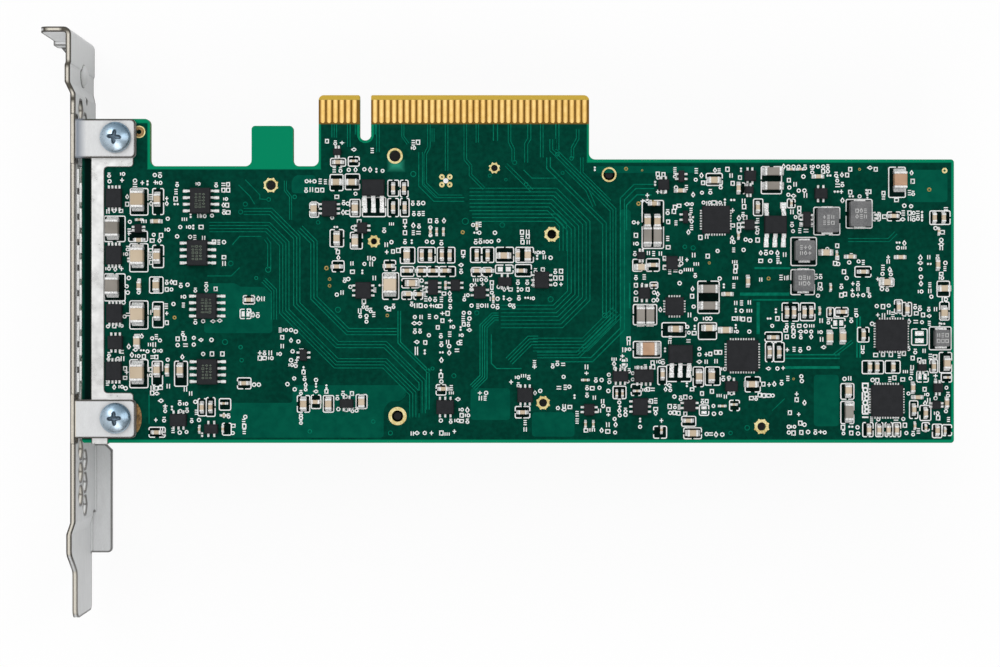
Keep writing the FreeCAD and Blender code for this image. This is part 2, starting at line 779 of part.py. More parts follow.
    pieces = []
    for low, high in ears:
        ear = fold(PLATE_OUT, PLATE_IN, EAR_TIP, NEAR_Z, 1, low, high)
        plan = [
            (PLATE_OUT - OVER, low, 0),
            (EAR_TIP, low, EAR_R),
            (EAR_TIP, high, EAR_R),
            (PLATE_OUT - OVER, high, 0),
        ]
        pieces.append(ear.common(prism(plan, NEAR_Z - 2 * FOLD_ROOT, NEAR_Z + OVER)))
    flange_tip = PLATE_OUT + FLANGE_REACH
    flange = fold(PLATE_OUT, PLATE_IN, flange_tip, FAR_Z, -1, flange_turn, FLANGE_HIGH)
    flange = flange.fuse(fold(lower_out, lower_in, flange_tip, FAR_Z, -1, FLANGE_LOW, flange_turn))
    plan = [
        (lower_out - OVER, FLANGE_LOW, 0),
        (flange_tip, FLANGE_LOW, FLANGE_R),
        (flange_tip, FLANGE_HIGH - FLANGE_CHAMFER, 0),
        (flange_tip - FLANGE_CHAMFER, FLANGE_HIGH, 0),
        (lower_out - OVER, FLANGE_HIGH, 0),
    ]
    pieces.append(flange.common(prism(plan, FAR_Z - OVER, FAR_Z + 2 * FOLD_ROOT)))

    gusset = [
        (prong_tip + PRONG_R, TAB_TOP - SHEET_T, 0),
        (upper_out, TAB_TOP - SHEET_T - GUSSET_DROP, 0),
        (upper_out + SHEET_T / 2, TAB_TOP - SHEET_T - GUSSET_DROP, 0),
        (upper_out + SHEET_T / 2, TAB_TOP - SHEET_T / 2, 0),
        (prong_tip + PRONG_R, TAB_TOP - SHEET_T / 2, 0),
    ]
    pieces.append(prism(gusset, UPPER_FAR_Z, UPPER_FAR_Z + SHEET_T))

    dimple_z = NEAR_Z - DIMPLE_DEPTH
    rise = Part.makeSphere(DIMPLE_R, Vec(upper_in + DIMPLE_H - DIMPLE_R, DIMPLE_Y, dimple_z))
    keep = block(upper_in - SHEET_T / 2, upper_in + DIMPLE_R, DIMPLE_Y - DIMPLE_R, DIMPLE_Y + DIMPLE_R,
                 dimple_z - DIMPLE_R, dimple_z + DIMPLE_R)
    pieces.append(rise.common(keep))
    dent = Part.makeSphere(DIMPLE_R, Vec(upper_out + DIMPLE_H - DIMPLE_R, DIMPLE_Y, dimple_z))
    holes = [post(x, y, SCREW_HOLE_R, EAR_Z - OVER, NEAR_Z + OVER) for x, y in SCREW_SPOTS]
    return sheet.fuse(pieces).cut(holes + [dent]).removeSplitter()


def bracket_screws():
    radius = HEAD_D / 2
    shank_end = COMPONENT_Z - NUT_H - NEAR_Z
    dome_middle = Vec(radius * 0.75, 0, HEAD_H * 0.82)
    dome = Part.Arc(Vec(radius, 0, HEAD_EDGE_H), dome_middle, Vec(0, 0, HEAD_H))
    profile = [
        Part.makeLine(Vec(0, 0, shank_end), Vec(SCREW_D / 2, 0, shank_end)),
        Part.makeLine(Vec(SCREW_D / 2, 0, shank_end), Vec(SCREW_D / 2, 0, 0)),
        Part.makeLine(Vec(SCREW_D / 2, 0, 0), Vec(radius, 0, 0)),
        Part.makeLine(Vec(radius, 0, 0), Vec(radius, 0, HEAD_EDGE_H)),
        dome.toShape(),
        Part.makeLine(Vec(0, 0, HEAD_H), Vec(0, 0, shank_end)),
    ]
    screw = Part.Face(Part.Wire(profile)).revolve(Vec(0, 0, 0), Vec(0, 0, 1), 360)
    span = RECESS_SPAN / 2
    wide = RECESS_W / 2
    floor = HEAD_H - RECESS_DEEP
    cross = block(-span, span, -wide, wide, floor, HEAD_H + OVER)
    cross = cross.fuse(block(-wide, wide, -span, span, floor, HEAD_H + OVER))
    screw = screw.cut(cross)
    return [placed(screw, x, y, NEAR_Z, turn) for (x, y), turn in zip(SCREW_SPOTS, (45, 0))]


def bracket_nuts():
    radius = NUT_ACROSS / math.sqrt(3)
    corners = []
    for corner in range(6):
        angle = math.radians(60 * corner)
        corners.append((radius * math.cos(angle), radius * math.sin(angle), 0))
    nut = prism(corners, -NUT_H, 0)
    nut = nut.cut(post(0, 0, SCREW_D / 2 + NUT_CLEARANCE, -NUT_H - OVER, OVER))
    return [placed(nut, x, y, COMPONENT_Z) for x, y in SCREW_SPOTS]


def ground_strap():
    plan = [
        (STRAP_LEFT, STRAP_LOWER[0], 0),
        (STRAP_ARM_END, STRAP_LOWER[0], STRAP_R),
        (STRAP_ARM_END, STRAP_LOWER[1], STRAP_R),
        (STRAP_RIGHT, STRAP_LOWER[1], STRAP_R),
        (STRAP_RIGHT, STRAP_UPPER[0], STRAP_R),
        (STRAP_ARM_END, STRAP_UPPER[0], STRAP_R),
        (STRAP_ARM_END, STRAP_UPPER[1], STRAP_R),
        (STRAP_LEFT, STRAP_UPPER[1], 0),
    ]
    strap = prism(plan, SOLDER_Z, EAR_Z)
    lip_out = BOARD_LOW - STRAP_T
    lip = [
        (STRAP_LOWER[0] + OVER, SOLDER_Z, 0),
        (STRAP_LOWER[0] + OVER, EAR_Z, 0),
        (lip_out, EAR_Z, STRAP_T),
        (lip_out, EAR_Z - STRAP_TAB_DROP, 0),
        (BOARD_LOW, EAR_Z - STRAP_TAB_DROP, 0),
        (BOARD_LOW, SOLDER_Z, 0),
    ]
    strap = strap.fuse(prism_x(lip, STRAP_TAB[0], STRAP_TAB[1]))
    holes = [post(x, y, SCREW_HOLE_R, SOLDER_Z - OVER, EAR_Z + OVER) for x, y in SCREW_SPOTS]
    return strap.cut(holes).removeSplitter()


def curl(x, z, y_low):
    """Half-round spring finger standing off the gasket along Z."""
    start = Vec(x - CURL_R, y_low, z)
    end = Vec(x + CURL_R, y_low, z)
    crown = Part.Arc(start, Vec(x, y_low, z + CURL_R), end).toShape()
    return Part.Face(Part.Wire([crown, Part.makeLine(end, start)])).extrude(Vec(0, CURL_L, 0))


def emi_gasket():
    inside = rectangle(CAGE_LOW_Y - GASKET_GAP, CAGE_HIGH_Y + GASKET_GAP,
                       CAGE_FAR_Z - GASKET_GAP, COMPONENT_Z + GASKET_GAP)
    rim = GASKET_GAP + GASKET_T
    outside = rectangle(CAGE_LOW_Y - rim, CAGE_HIGH_Y + rim, CAGE_FAR_Z - rim, COMPONENT_Z + rim)
    ends = (PLATE_IN + GASKET_GAP, BOARD_LEFT - GASKET_GAP)
    collar = prism_x(outside, ends[0], ends[1]).cut(prism_x(inside, ends[0] - OVER, ends[1] + OVER))
    middle = (ends[0] + ends[1]) / 2
    room = CAGE_HIGH_Y - CAGE_LOW_Y + 2 * rim - CURL_L
    count = int(room / CURL_PITCH) + 1
    first_y = PORT_MID_Y - (count - 1) * CURL_PITCH / 2 - CURL_L / 2
    fingers = []
    for i in range(count):
        y = first_y + i * CURL_PITCH
        fingers.append(curl(middle, COMPONENT_Z + rim, y))
    return collar.fuse(fingers).removeSplitter()


def bay_middles():
    return [PORT_MID_Y + PORT_PITCH * (i - (PORT_COUNT - 1) / 2) for i in range(PORT_COUNT)]


def cage_base():
    return block(PLATE_OUT, CAGE_BACK, CAGE_LOW_Y, CAGE_HIGH_Y, COMPONENT_Z - CAGE_WALL, COMPONENT_Z)


def cage_cover():
    near_z = COMPONENT_Z - CAGE_WALL
    shell = block(PLATE_OUT, CAGE_BACK, CAGE_LOW_Y, CAGE_HIGH_Y, CAGE_FAR_Z, near_z)
    room = block(PLATE_OUT - OVER, CAGE_BACK - CAGE_WALL, CAGE_LOW_Y + CAGE_WALL, CAGE_HIGH_Y - CAGE_WALL,
                 CAGE_FAR_Z + CAGE_WALL, near_z + OVER)
    latches = []
    for y in bay_middles():
        window = rectangle(PLATE_OUT + LATCH_SETBACK, PLATE_OUT + LATCH_SETBACK + LATCH_L,
                           y - LATCH_W / 2, y + LATCH_W / 2)
        latches.append(prism(window, CAGE_FAR_Z - OVER, CAGE_FAR_Z + OVER))
    return shell.cut([room] + latches)


def cage_dividers():
    dividers = []
    for i in range(1, PORT_COUNT):
        y = CAGE_LOW_Y + CAGE_WALL / 2 + i * PORT_PITCH
        dividers.append(block(PLATE_OUT, CAGE_BACK - CAGE_WALL, y - CAGE_WALL / 2, y + CAGE_WALL / 2,
                              CAGE_FAR_Z + CAGE_WALL, COMPONENT_Z - CAGE_WALL))
    return dividers


def slit_floors():
    """Heights of the walls that carry the blades, one for each slit of a socket."""
    middle = (CAGE_FAR_Z + COMPONENT_Z) / 2
    return [middle + way * SLIT_SPACING / 2 - SLIT_H / 2 for way in (1, -1)]


def port_sockets():
    back = CAGE_BACK - CAGE_WALL
    front = back - SOCKET_LENGTH
    half = (PORT_PITCH - CAGE_WALL) / 2 - SOCKET_SIDE_GAP
    socket = block(front, back, -half, half, CAGE_FAR_Z + CAGE_WALL + SOCKET_TOP_GAP, COMPONENT_Z - CAGE_WALL)
    slit_ends = (front - OVER, front + SLIT_DEEP)
    slits = [block(*slit_ends, -SLIT_W / 2, SLIT_W / 2, z, z + SLIT_H) for z in slit_floors()]
    socket = socket.cut(slits)
    return [placed(socket, 0, y, 0) for y in bay_middles()]


def port_blades():
    start = CAGE_BACK - CAGE_WALL - SOCKET_LENGTH + SLIT_DEEP - BLADE_L
    blades = []
    for y in bay_middles():
        for z in slit_floors():
            for i in range(BLADE_COUNT):
                middle = y + BLADE_PITCH * (i - (BLADE_COUNT - 1) / 2)
                blades.append(block(start, start + BLADE_L, middle - BLADE_W / 2, middle + BLADE_W / 2,
                                    z, z + BLADE_H))
    return blades


def centred_block(size, z_low, z_high, radius=0):
    half = size / 2
    return prism(rectangle(CHIP_X - half, CHIP_X + half, CHIP_Y - half, CHIP_Y + half, radius), z_low, z_high)


def controller_chip():
    base_far = COMPONENT_Z - CHIP_BASE_H
    lid = centred_block(CHIP_LID_SIZE, CHIP_FAR_Z, base_far)
    return centred_block(CHIP_SIZE, base_far, COMPONENT_Z).fuse(lid)


def heat_sink():
    sink = centred_block(SINK_SIZE, SINK_FAR_Z, SINK_NEAR_Z, SINK_R)
    lugs = []
    for x, y in PINS:
        inward = Vec(CHIP_X - x, CHIP_Y - y, 0).normalize() * (SINK_SIZE / 4)
        across = Vec(-inward.y, inward.x, 0).normalize() * SINK_LUG_R
        corners = []
        for along, side in ((0, 1), (1, 1), (1, -1), (0, -1)):
            spot = Vec(x, y, 0) + inward * along + across * side
            corners.append((spot.x, spot.y, 0))
        lugs.append(prism(corners, SINK_FAR_Z, SINK_NEAR_Z))
        lugs.append(post(x, y, SINK_LUG_R, SINK_FAR_Z, SINK_NEAR_Z))
    half = SINK_SIZE / 2
    step = (SINK_SIZE - FIN_T) / (FIN_COUNT - 1)
    fins = []
    for i in range(FIN_COUNT):
        low = CHIP_Y - half + i * step
        fins.append(block(CHIP_X - half + SINK_R, CHIP_X + half - SINK_R, low, low + FIN_T,
                          SINK_FAR_Z - FIN_H, SINK_FAR_Z))
    holes = [post(x, y, PIN_D / 2 + PIN_CLEARANCE, SINK_FAR_Z - OVER, SINK_NEAR_Z + OVER) for x, y in PINS]
    return sink.fuse(lugs + fins).cut(holes).removeSplitter()


def heat_sink_pins():
    tip_z = SOLDER_Z - PIN_TIP_RECESS
    profile = [
        (0, tip_z),
        (PIN_TIP_D / 2 - PIN_TIP_CHAMFER, tip_z),
        (PIN_TIP_D / 2, tip_z - PIN_TIP_CHAMFER),
        (PIN_TIP_D / 2, COMPONENT_Z),
        (PIN_D / 2, COMPONENT_Z),
        (PIN_D / 2, PIN_HEAD_Z),
        (PIN_HEAD_D / 2, PIN_HEAD_Z),
        (PIN_HEAD_D / 2, PIN_HEAD_Z - PIN_HEAD_H),
        (0, PIN_HEAD_Z - PIN_HEAD_H),
        (0, tip_z),
    ]
    wire = Part.makePolygon([Vec(radius, 0, z) for radius, z in profile])
    pin = Part.Face(wire).revolve(Vec(0, 0, 0), Vec(0, 0, 1), 360)
    return [placed(pin, x, y, 0) for x, y in PINS]


def so8_leads(x, y):
    lead = gull_lead(SO8_LEAD_REACH, SO8_LEAD_W, SO8_H / 2)
    leads = []
    for i in range(4):
        offset = SO8_PITCH * (i - 1.5)
        leads.append(placed(lead, x + SO8_X / 2, y + offset, SOLDER_Z))
        leads.append(placed(lead, x - SO8_X / 2, y + offset, SOLDER_Z, 180))
    return leads


def fet_leads(x, y, width, reach_below, reach_above):
    leads = []
    for i in (-1, 0, 1):
        lead = gull_lead(reach_below, FET_LEAD_W, FET_H / 2)
        leads.append(placed(lead, x + i * FET_LEAD_SPREAD, y - width / 2, SOLDER_Z, 270))
    if reach_above > 0:
        for i in (-1, 1):
            lead = gull_lead(reach_above, FET_LEAD_W, FET_H / 2)
            leads.append(placed(lead, x + i * FET_LEAD_SPREAD, y + width / 2, SOLDER_Z, 90))
    return leads


def capacitor_bodies(case, places):
    length, width, height, end = case
    half = length / 2 - end
    body = block(-half, half, -width / 2, width / 2, 0, height)
    return [placed(body, x, y, SOLDER_Z, turn) for x, y, turn in places]


def capacitor_ends(case, places):
    length, width, height, end = case
    cap = block(length / 2 - end, length / 2, -width / 2, width / 2, 0, height)
    ends = []
    for x, y, turn in places:
        ends.append(placed(cap, x, y, SOLDER_Z, turn))
        ends.append(placed(cap, x, y, SOLDER_Z, turn + 180))
    return ends


def plain_chips(case, places):
    length, width, height = case
    chip = block(-length / 2, length / 2, -width / 2, width / 2, 0, height)
    return [placed(chip, x, y, SOLDER_Z, turn) for x, y, turn in places]


def inductors():
    solids = []
    for x, y, length, width in INDUCTOR_PLACES:
        body = block(-length / 2, length / 2, -width / 2, width / 2, 0, INDUCTOR_H)
        uprights = [e for e in body.Edges if e.BoundBox.ZLength > INDUCTOR_H / 2]
        solids.append(placed(body.makeChamfer(INDUCTOR_CHAMFER, uprights), x, y, SOLDER_Z))
    return solids


os.makedirs("parts", exist_ok=True)
save("circuit_board", [circuit_board()])
save("contact_fingers", contact_fingers())
save("bracket", [bracket()])
save("bracket_screws", bracket_screws())
save("bracket_nuts", bracket_nuts())
save("ground_strap", [ground_strap()])
save("emi_gasket", [emi_gasket()])
save("cage_base", [cage_base()])
save("cage_cover", [cage_cover()])
save("cage_dividers", cage_dividers())
save("port_sockets", port_sockets())
save("port_blades", port_blades())
save("controller_chip", [controller_chip()])
save("thermal_pad", [centred_block(PAD_SIZE, SINK_NEAR_Z, CHIP_FAR_Z)])
save("heat_sink", [heat_sink()])
save("heat_sink_pins", heat_sink_pins())

so8_body = moulded(SO8_X, SO8_Y, SO8_H)
save("driver_chip_bodies", [placed(so8_body, x, y, SOLDER_Z) for x, y in SO8_PLACES])
save("driver_chip_leads", [lead for x, y in SO8_PLACES for lead in so8_leads(x, y)])
save("boot_memory_body", [underside(placed(so8_body, FLASH_PLACE[0], FLASH_PLACE[1], SOLDER_Z))])
save("boot_memory_leads", [underside(Part.makeCompound(so8_leads(FLASH_PLACE[0], FLASH_PLACE[1])))])

save("leadless_chips", [placed(moulded(DFN_X, DFN_Y, DFN_H), x, y, SOLDER_Z) for x, y in DFN_PLACES])
save("square_chips", [placed(moulded(size, size, QFN_H), x, y, SOLDER_Z) for x, y, size in QFN_PLACES])
transistor_bodies = []
transistor_leads = []
for x, y, length, width, below, above in FET_PLACES:
    transistor_bodies.append(placed(moulded(length, width, FET_H), x, y, SOLDER_Z))
    transistor_leads.extend(fet_leads(x, y, width, below, above))
save("transistor_bodies", transistor_bodies)
save("transistor_leads", transistor_leads)
save("small_chips", [placed(moulded(l, w, SMALL_CHIP_H), x, y, SOLDER_Z) for x, y, l, w in SMALL_CHIP_PLACES])
save("inductors", inductors())

save("big_capacitor_bodies", capacitor_bodies(BIG_CAP, BIG_CAP_PLACES))
save("big_capacitor_ends", capacitor_ends(BIG_CAP, BIG_CAP_PLACES))
save("long_capacitor_bodies", capacitor_bodies(LONG_CAP, LONG_CAP_PLACES))
save("long_capacitor_ends", capacitor_ends(LONG_CAP, LONG_CAP_PLACES))
save("mid_capacitors", plain_chips(MID_CAP, MID_CAP_PLACES))
save("small_capacitors", plain_chips(SMALL_CAP, SMALL_CAP_PLACES))
save("tiny_capacitors", plain_chips(TINY_CAP, TINY_CAP_PLACES))

coupling = [(COUPLING_FIRST_X + COUPLING_PITCH * i, COUPLING_Y, 90) for i in range(COUPLING_COUNT)]
save("coupling_capacitors", [underside(chip) for chip in plain_chips(TINY_CAP, coupling)])
clock = placed(moulded(CLOCK_X, CLOCK_Y, CLOCK_H), CLOCK_PLACE[0], CLOCK_PLACE[1], SOLDER_Z)
save("clock_can", [underside(clock)])
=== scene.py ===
import math
import random

import bmesh
import bpy
from mathutils import Matrix, Vector


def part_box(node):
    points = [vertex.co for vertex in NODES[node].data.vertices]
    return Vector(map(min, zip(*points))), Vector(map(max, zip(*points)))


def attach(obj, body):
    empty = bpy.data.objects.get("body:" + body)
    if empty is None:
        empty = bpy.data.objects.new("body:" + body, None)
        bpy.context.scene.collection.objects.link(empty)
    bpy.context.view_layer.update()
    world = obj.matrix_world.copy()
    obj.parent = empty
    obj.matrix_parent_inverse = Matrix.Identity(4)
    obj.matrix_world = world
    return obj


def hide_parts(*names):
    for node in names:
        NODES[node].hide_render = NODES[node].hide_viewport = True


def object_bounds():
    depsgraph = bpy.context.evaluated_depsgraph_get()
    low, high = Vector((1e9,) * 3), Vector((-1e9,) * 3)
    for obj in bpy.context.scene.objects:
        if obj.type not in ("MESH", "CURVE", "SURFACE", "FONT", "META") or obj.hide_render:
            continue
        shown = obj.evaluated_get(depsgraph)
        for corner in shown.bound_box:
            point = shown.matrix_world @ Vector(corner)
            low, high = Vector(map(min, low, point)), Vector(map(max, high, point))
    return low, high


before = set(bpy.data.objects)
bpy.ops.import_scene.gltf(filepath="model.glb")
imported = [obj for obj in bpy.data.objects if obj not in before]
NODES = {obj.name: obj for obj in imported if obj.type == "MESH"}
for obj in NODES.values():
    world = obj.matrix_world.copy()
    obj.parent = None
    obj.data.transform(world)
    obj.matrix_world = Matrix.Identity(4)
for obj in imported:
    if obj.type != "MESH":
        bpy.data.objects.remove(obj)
cad_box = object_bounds()
random.seed(41)

# Sizes are millimetres in the part's own frame; MM turns them into metres where a mesh is made
MM = 0.001
UP = Vector((0, 0, 1))
ALONG_X = Vector((1, 0, 0))
ALONG_Y = Vector((0, 1, 0))
SOLDER_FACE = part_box("circuit_board")[1].z / MM
BOARD_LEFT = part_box("circuit_board")[0].x / MM
BOARD_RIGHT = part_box("circuit_board")[1].x / MM
BOARD_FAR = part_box("circuit_board")[0].y / MM
# Heights of the flat work above the solder face
POUR_LIFT = 0.006
TRACK_LIFT = 0.011
WELL_LIFT = 0.021
PLATING_LIFT = 0.025
DISC_LIFT = 0.027
PRINT_LIFT = 0.035

# Photograph's camera: straight down on the solder side
CAMERA_X = 25.87
CAMERA_Y = -45.87
CAMERA_Z = 368.785
FOCAL_PIXELS = 1914.0
IMAGE_WIDTH = 1000.0
SENSOR_WIDTH = 36.0


# Shader helpers

# Sockets of the colour mix node, which share their names with those of its other kinds
MIX_FIRST = 6
MIX_SECOND = 7
MIX_RESULT = 2


def add_node(tree, kind, values, **settings):
    """A new node with its settings; each value is a number, a way, a colour or the socket it comes from."""
    node = tree.nodes.new("ShaderNode" + kind)
    for name, setting in settings.items():
        setattr(node, name, setting)
    for name, value in values.items():
        socket = node.inputs[name]
        if isinstance(value, tuple) and socket.type == "RGBA":
            socket.default_value = (*value, 1.0)
        elif isinstance(value, (int, float, tuple)):
            socket.default_value = value
        else:
            tree.links.new(value, socket)
    return node


def maths(tree, operation, first, second=0.0):
    return add_node(tree, "Math", {0: first, 1: second}, operation=operation).outputs[0]


def spread(tree, value, low, high, to_low=0.0, to_high=1.0):
    """Carries a value from one range to another, without going past its ends."""
    ends = {"From Min": low, "From Max": high, "To Min": to_low, "To Max": to_high}
    return add_node(tree, "MapRange", {"Value": value, **ends}).outputs["Result"]


def mixed(tree, factor, first, second):
    values = {"Factor": factor, MIX_FIRST: first, MIX_SECOND: second}
    return add_node(tree, "Mix", values, data_type="RGBA").outputs[MIX_RESULT]


def noise(tree, vector, scale, detail):
    return add_node(tree, "TexNoise", {"Vector": vector, "Scale": scale, "Detail": detail}).outputs["Fac"]


def axes(tree, vector):
    return add_node(tree, "SeparateXYZ", {0: vector}).outputs


def dot(tree, first, second):
    return add_node(tree, "VectorMath", {0: first, 1: second}, operation="DOT_PRODUCT").outputs["Value"]


def face_normal(tree):
    return add_node(tree, "NewGeometry", {}).outputs["Normal"]


def mixed_shaders(tree, factor, first, second):
    return add_node(tree, "MixShader", {0: factor, 1: first, 2: second}).outputs[0]


def new_group(name, inputs, outputs):
    group = bpy.data.node_groups.new(name, "ShaderNodeTree")
    for way, sockets in (("INPUT", inputs), ("OUTPUT", outputs)):
        for socket, kind in sockets:
            group.interface.new_socket(socket, in_out=way, socket_type="NodeSocket" + kind)
    start = group.nodes.new("NodeGroupInput")
    end = group.nodes.new("NodeGroupOutput")
    return group, start.outputs, end.inputs


FINE_DETAIL = 3.0
COARSE_DETAIL = 2.0
COARSE_SCALE = 0.13
FINE_SHARE = 0.6
TONE_RANGE = (0.38, 0.62)
ROUGH_RANGE = (0.3, 0.7)


def grain_group():
    """Two tones mixed by fine and coarse noise, with the fine noise given out for bump and roughness."""
    inputs = [("Vector", "Vector"), ("Scale", "Float"), ("Light", "Color"), ("Dark", "Color")]
    group, start, end = new_group("surface_grain", inputs, [("Color", "Color"), ("Grain", "Float")])
    fine = noise(group, start["Vector"], start["Scale"], FINE_DETAIL)
    coarse_scale = maths(group, "MULTIPLY", start["Scale"], COARSE_SCALE)
    coarse = noise(group, start["Vector"], coarse_scale, COARSE_DETAIL)
    both = maths(group, "ADD", maths(group, "MULTIPLY", fine, FINE_SHARE),
                 maths(group, "MULTIPLY", coarse, 1 - FINE_SHARE))
    tone = mixed(group, spread(group, both, *TONE_RANGE), start["Dark"], start["Light"])
    group.links.new(tone, end["Color"])
    group.links.new(fine, end["Grain"])
    return group


FIELD_EDGES = ("Left", "Right", "Low", "High")


def field_group():
    """One inside a rectangle on the board, nought outside it, with a soft edge."""
    inputs = [("Vector", "Vector")] + [(edge, "Float") for edge in FIELD_EDGES + ("Soft",)]
    group, start, end = new_group("board_field", inputs, [("Inside", "Float")])
    place = axes(group, start["Vector"])
    across = maths(group, "MINIMUM", maths(group, "SUBTRACT", place["X"], start["Left"]),
                   maths(group, "SUBTRACT", start["Right"], place["X"]))
    along = maths(group, "MINIMUM", maths(group, "SUBTRACT", place["Y"], start["Low"]),
                  maths(group, "SUBTRACT", start["High"], place["Y"]))
    inside = maths(group, "MINIMUM", across, along)
    outer = maths(group, "MULTIPLY", start["Soft"], -1.0)
    group.links.new(spread(group, inside, outer, start["Soft"]), end["Inside"])
    return group


EDGE_SAMPLES = 16
EDGE_TURN = (0.999, 0.95)


def edge_shade_group():
    """Mask of the painted edge shade: one along every edge of a shape, as far in as the radius, and nought on
    its flat faces.
    """
    group, start, end = new_group("edge_shade_line", [("Radius", "Float")], [("Edge", "Float")])
    bent = add_node(group, "Bevel", {"Radius": start["Radius"]}, samples=EDGE_SAMPLES).outputs[0]
    group.links.new(spread(group, dot(group, bent, face_normal(group)), *EDGE_TURN), end["Edge"])
    return group


GRAIN = grain_group()
FIELD = field_group()
EDGE_SHADE = edge_shade_group()


# Materials

def start_material(name, roughness, metallic, specular):
    """A material and its node tree, with a node that tells the place on the part."""
    material = bpy.data.materials.new(name)
    material.use_nodes = True
    tree = material.node_tree
    shader = tree.nodes["Principled BSDF"]
    shader.inputs["Metallic"].default_value = metallic
    shader.inputs["Roughness"].default_value = roughness
    shader.inputs["Specular IOR Level"].default_value = specular
    tree.nodes.new("ShaderNodeTexCoord")
    return material, tree


def place_on(tree):
    return tree.nodes["Texture Coordinate"].outputs["Object"]


def paint(tree, factor, tone):
    """Lays a tone over a finish where the factor is one."""
    base = tree.nodes["Principled BSDF"].inputs["Base Color"]
    tree.links.new(mixed(tree, factor, base.links[0].from_socket, tone), base)


def add_grain(tree, vector, size, light, dark, roughness, swing, strength, depth):
    """Grain of that size in millimetres that gives a finish two tones and varies its roughness and relief."""
    tones = {"Vector": vector, "Scale": 1.0 / (size * MM), "Light": light, "Dark": dark}
    grain = add_node(tree, "Group", tones, node_tree=GRAIN).outputs
    rough = spread(tree, grain["Grain"], *ROUGH_RANGE, roughness - swing, roughness + swing)
    relief = add_node(tree, "Bump", {"Strength": strength, "Distance": depth * MM, "Height": grain["Grain"]})
    shader = tree.nodes["Principled BSDF"]
    tree.links.new(grain["Color"], shader.inputs["Base Color"])
    tree.links.new(rough, shader.inputs["Roughness"])
    tree.links.new(relief.outputs[0], shader.inputs["Normal"])


def grained(name, light, dark, size, roughness, swing=0.1, metallic=0.0, specular=0.5,
            strength=0.2, depth=0.02, stretch=(1.0, 1.0, 1.0)):
    """A finish of two tones; a stretch below one draws its grain out along that axis."""
    material, tree = start_material(name, roughness, metallic, specular)
    place = add_node(tree, "Mapping", {"Vector": place_on(tree), "Scale": stretch}).outputs[0]
    add_grain(tree, place, size, light, dark, roughness, swing, strength, depth)
    return material


def edge_shaded(name, light, dark, size, roughness, edge_tone, edge_reach, **finish):
    """A grained finish with a line of painted shade along every edge of the sheet or head."""
    material = grained(name, light, dark, size, roughness, **finish)
    tree = material.node_tree
    edge = add_node(tree, "Group", {"Radius": edge_reach * MM}, node_tree=EDGE_SHADE).outputs["Edge"]
    paint(tree, edge, edge_tone)
    return material


SLOPE_LEAN = (-0.3, 0.6)


def slope_shade(material, way, tone):
    """Shades a finish where its faces lean the given way."""
    tree = material.node_tree
    paint(tree, spread(tree, dot(tree, face_normal(tree), way), *SLOPE_LEAN), tone)


def any_field(tree, fields, soft):
    """One inside any of the fields, each given as its left, right, low and high edge."""
    inside = None
    for edges in fields:
        values = {name: edge * MM for name, edge in zip(FIELD_EDGES, edges)}
        values.update({"Soft": soft * MM, "Vector": place_on(tree)})
        found = add_node(tree, "Group", values, node_tree=FIELD).outputs["Inside"]
        inside = found if inside is None else maths(tree, "MAXIMUM", inside, found)
    return inside


def field_shade(material, fields, soft, tone):
    """Shades a finish inside the given fields."""
    paint(material.node_tree, any_field(material.node_tree, fields, soft), tone)


COPPER_FIELDS = [
    (BOARD_LEFT - 1.0, -41.9, BOARD_FAR + 0.6, -5.4),
    (BOARD_LEFT - 1.0, BOARD_RIGHT - 0.5, BOARD_FAR + 0.6, -14.3),
    (-8.6, 42.6, -20.0, -5.5),
    (42.0, BOARD_RIGHT - 0.5, -20.0, -13.0),
]
COPPER_SOFT = 0.12
BARE_MASK = (0.002, 0.27, 0.13)
LAMINATE = (0.1, 0.2, 0.06)
CUT_FACING = (0.6, 0.3)
# Shades on the board: fields, softness and tone
BOARD_SHADES = [
    # Between the contact fingers, and the bevelled edge beyond them
    ([(-9.1, -0.95, -5.6, -0.95), (0.95, 43.1, -5.6, -0.95)], 0.1, (0.22, 0.115, 0.02)),
    ([(-9.5, 43.5, -0.95, 1.0)], 0.08, (0.68, 0.46, 0.07)),
    # Light thrown on the mask below a hole, and the shade beside the ground strap
    ([(4.8, 7.0, -14.2, -13.0)], 0.7, (0.03, 0.34, 0.22)),
    ([(BOARD_LEFT + 0.4, -52.0, -60.6, -12.0)], 0.25, (0.0, 0.008, 0.006)),
]


def board_finish():
    """Green mask over copper, lighter where the copper stops short, with bare laminate on cut edges."""
    material, tree = start_material("board_mask", 0.39, 0.0, 0.02)
    add_grain(tree, place_on(tree), 0.9, (0.0004, 0.064, 0.04), (0.0001, 0.04, 0.026), 0.39, 0.07, 0.12, 0.02)
    bare = maths(tree, "SUBTRACT", 1.0, any_field(tree, COPPER_FIELDS, COPPER_SOFT))
    paint(tree, bare, BARE_MASK)
    for fields, soft, tone in BOARD_SHADES:
        paint(tree, any_field(tree, fields, soft), tone)
    facing = axes(tree, tree.nodes["Texture Coordinate"].outputs["Normal"])["Z"]
    paint(tree, spread(tree, maths(tree, "ABSOLUTE", facing), *CUT_FACING), LAMINATE)
    return material


# First contact finger on either side of the key notch, their pitch, and the painted shade on their sides
CONTACT_FIRST = (-8.2, 1.86)
CONTACT_PITCH = 1.22
KEY_HALF = 0.1
FINGER_SHADE_SPAN = (0.14, 0.46)
SIDE_GOLD_SHADE = (0.46, 0.23, 0.045)


def finger_side_shade(material):
    """Painted shade: darker gold towards the two sides of each contact finger."""
    tree = material.node_tree
    x = axes(tree, place_on(tree))["X"]
    first = spread(tree, x, -KEY_HALF * MM, KEY_HALF * MM, *(start * MM for start in CONTACT_FIRST))
    across = maths(tree, "PINGPONG", maths(tree, "SUBTRACT", x, first), CONTACT_PITCH / 2 * MM)
    paint(tree, spread(tree, across, *(side * MM for side in FINGER_SHADE_SPAN)), SIDE_GOLD_SHADE)
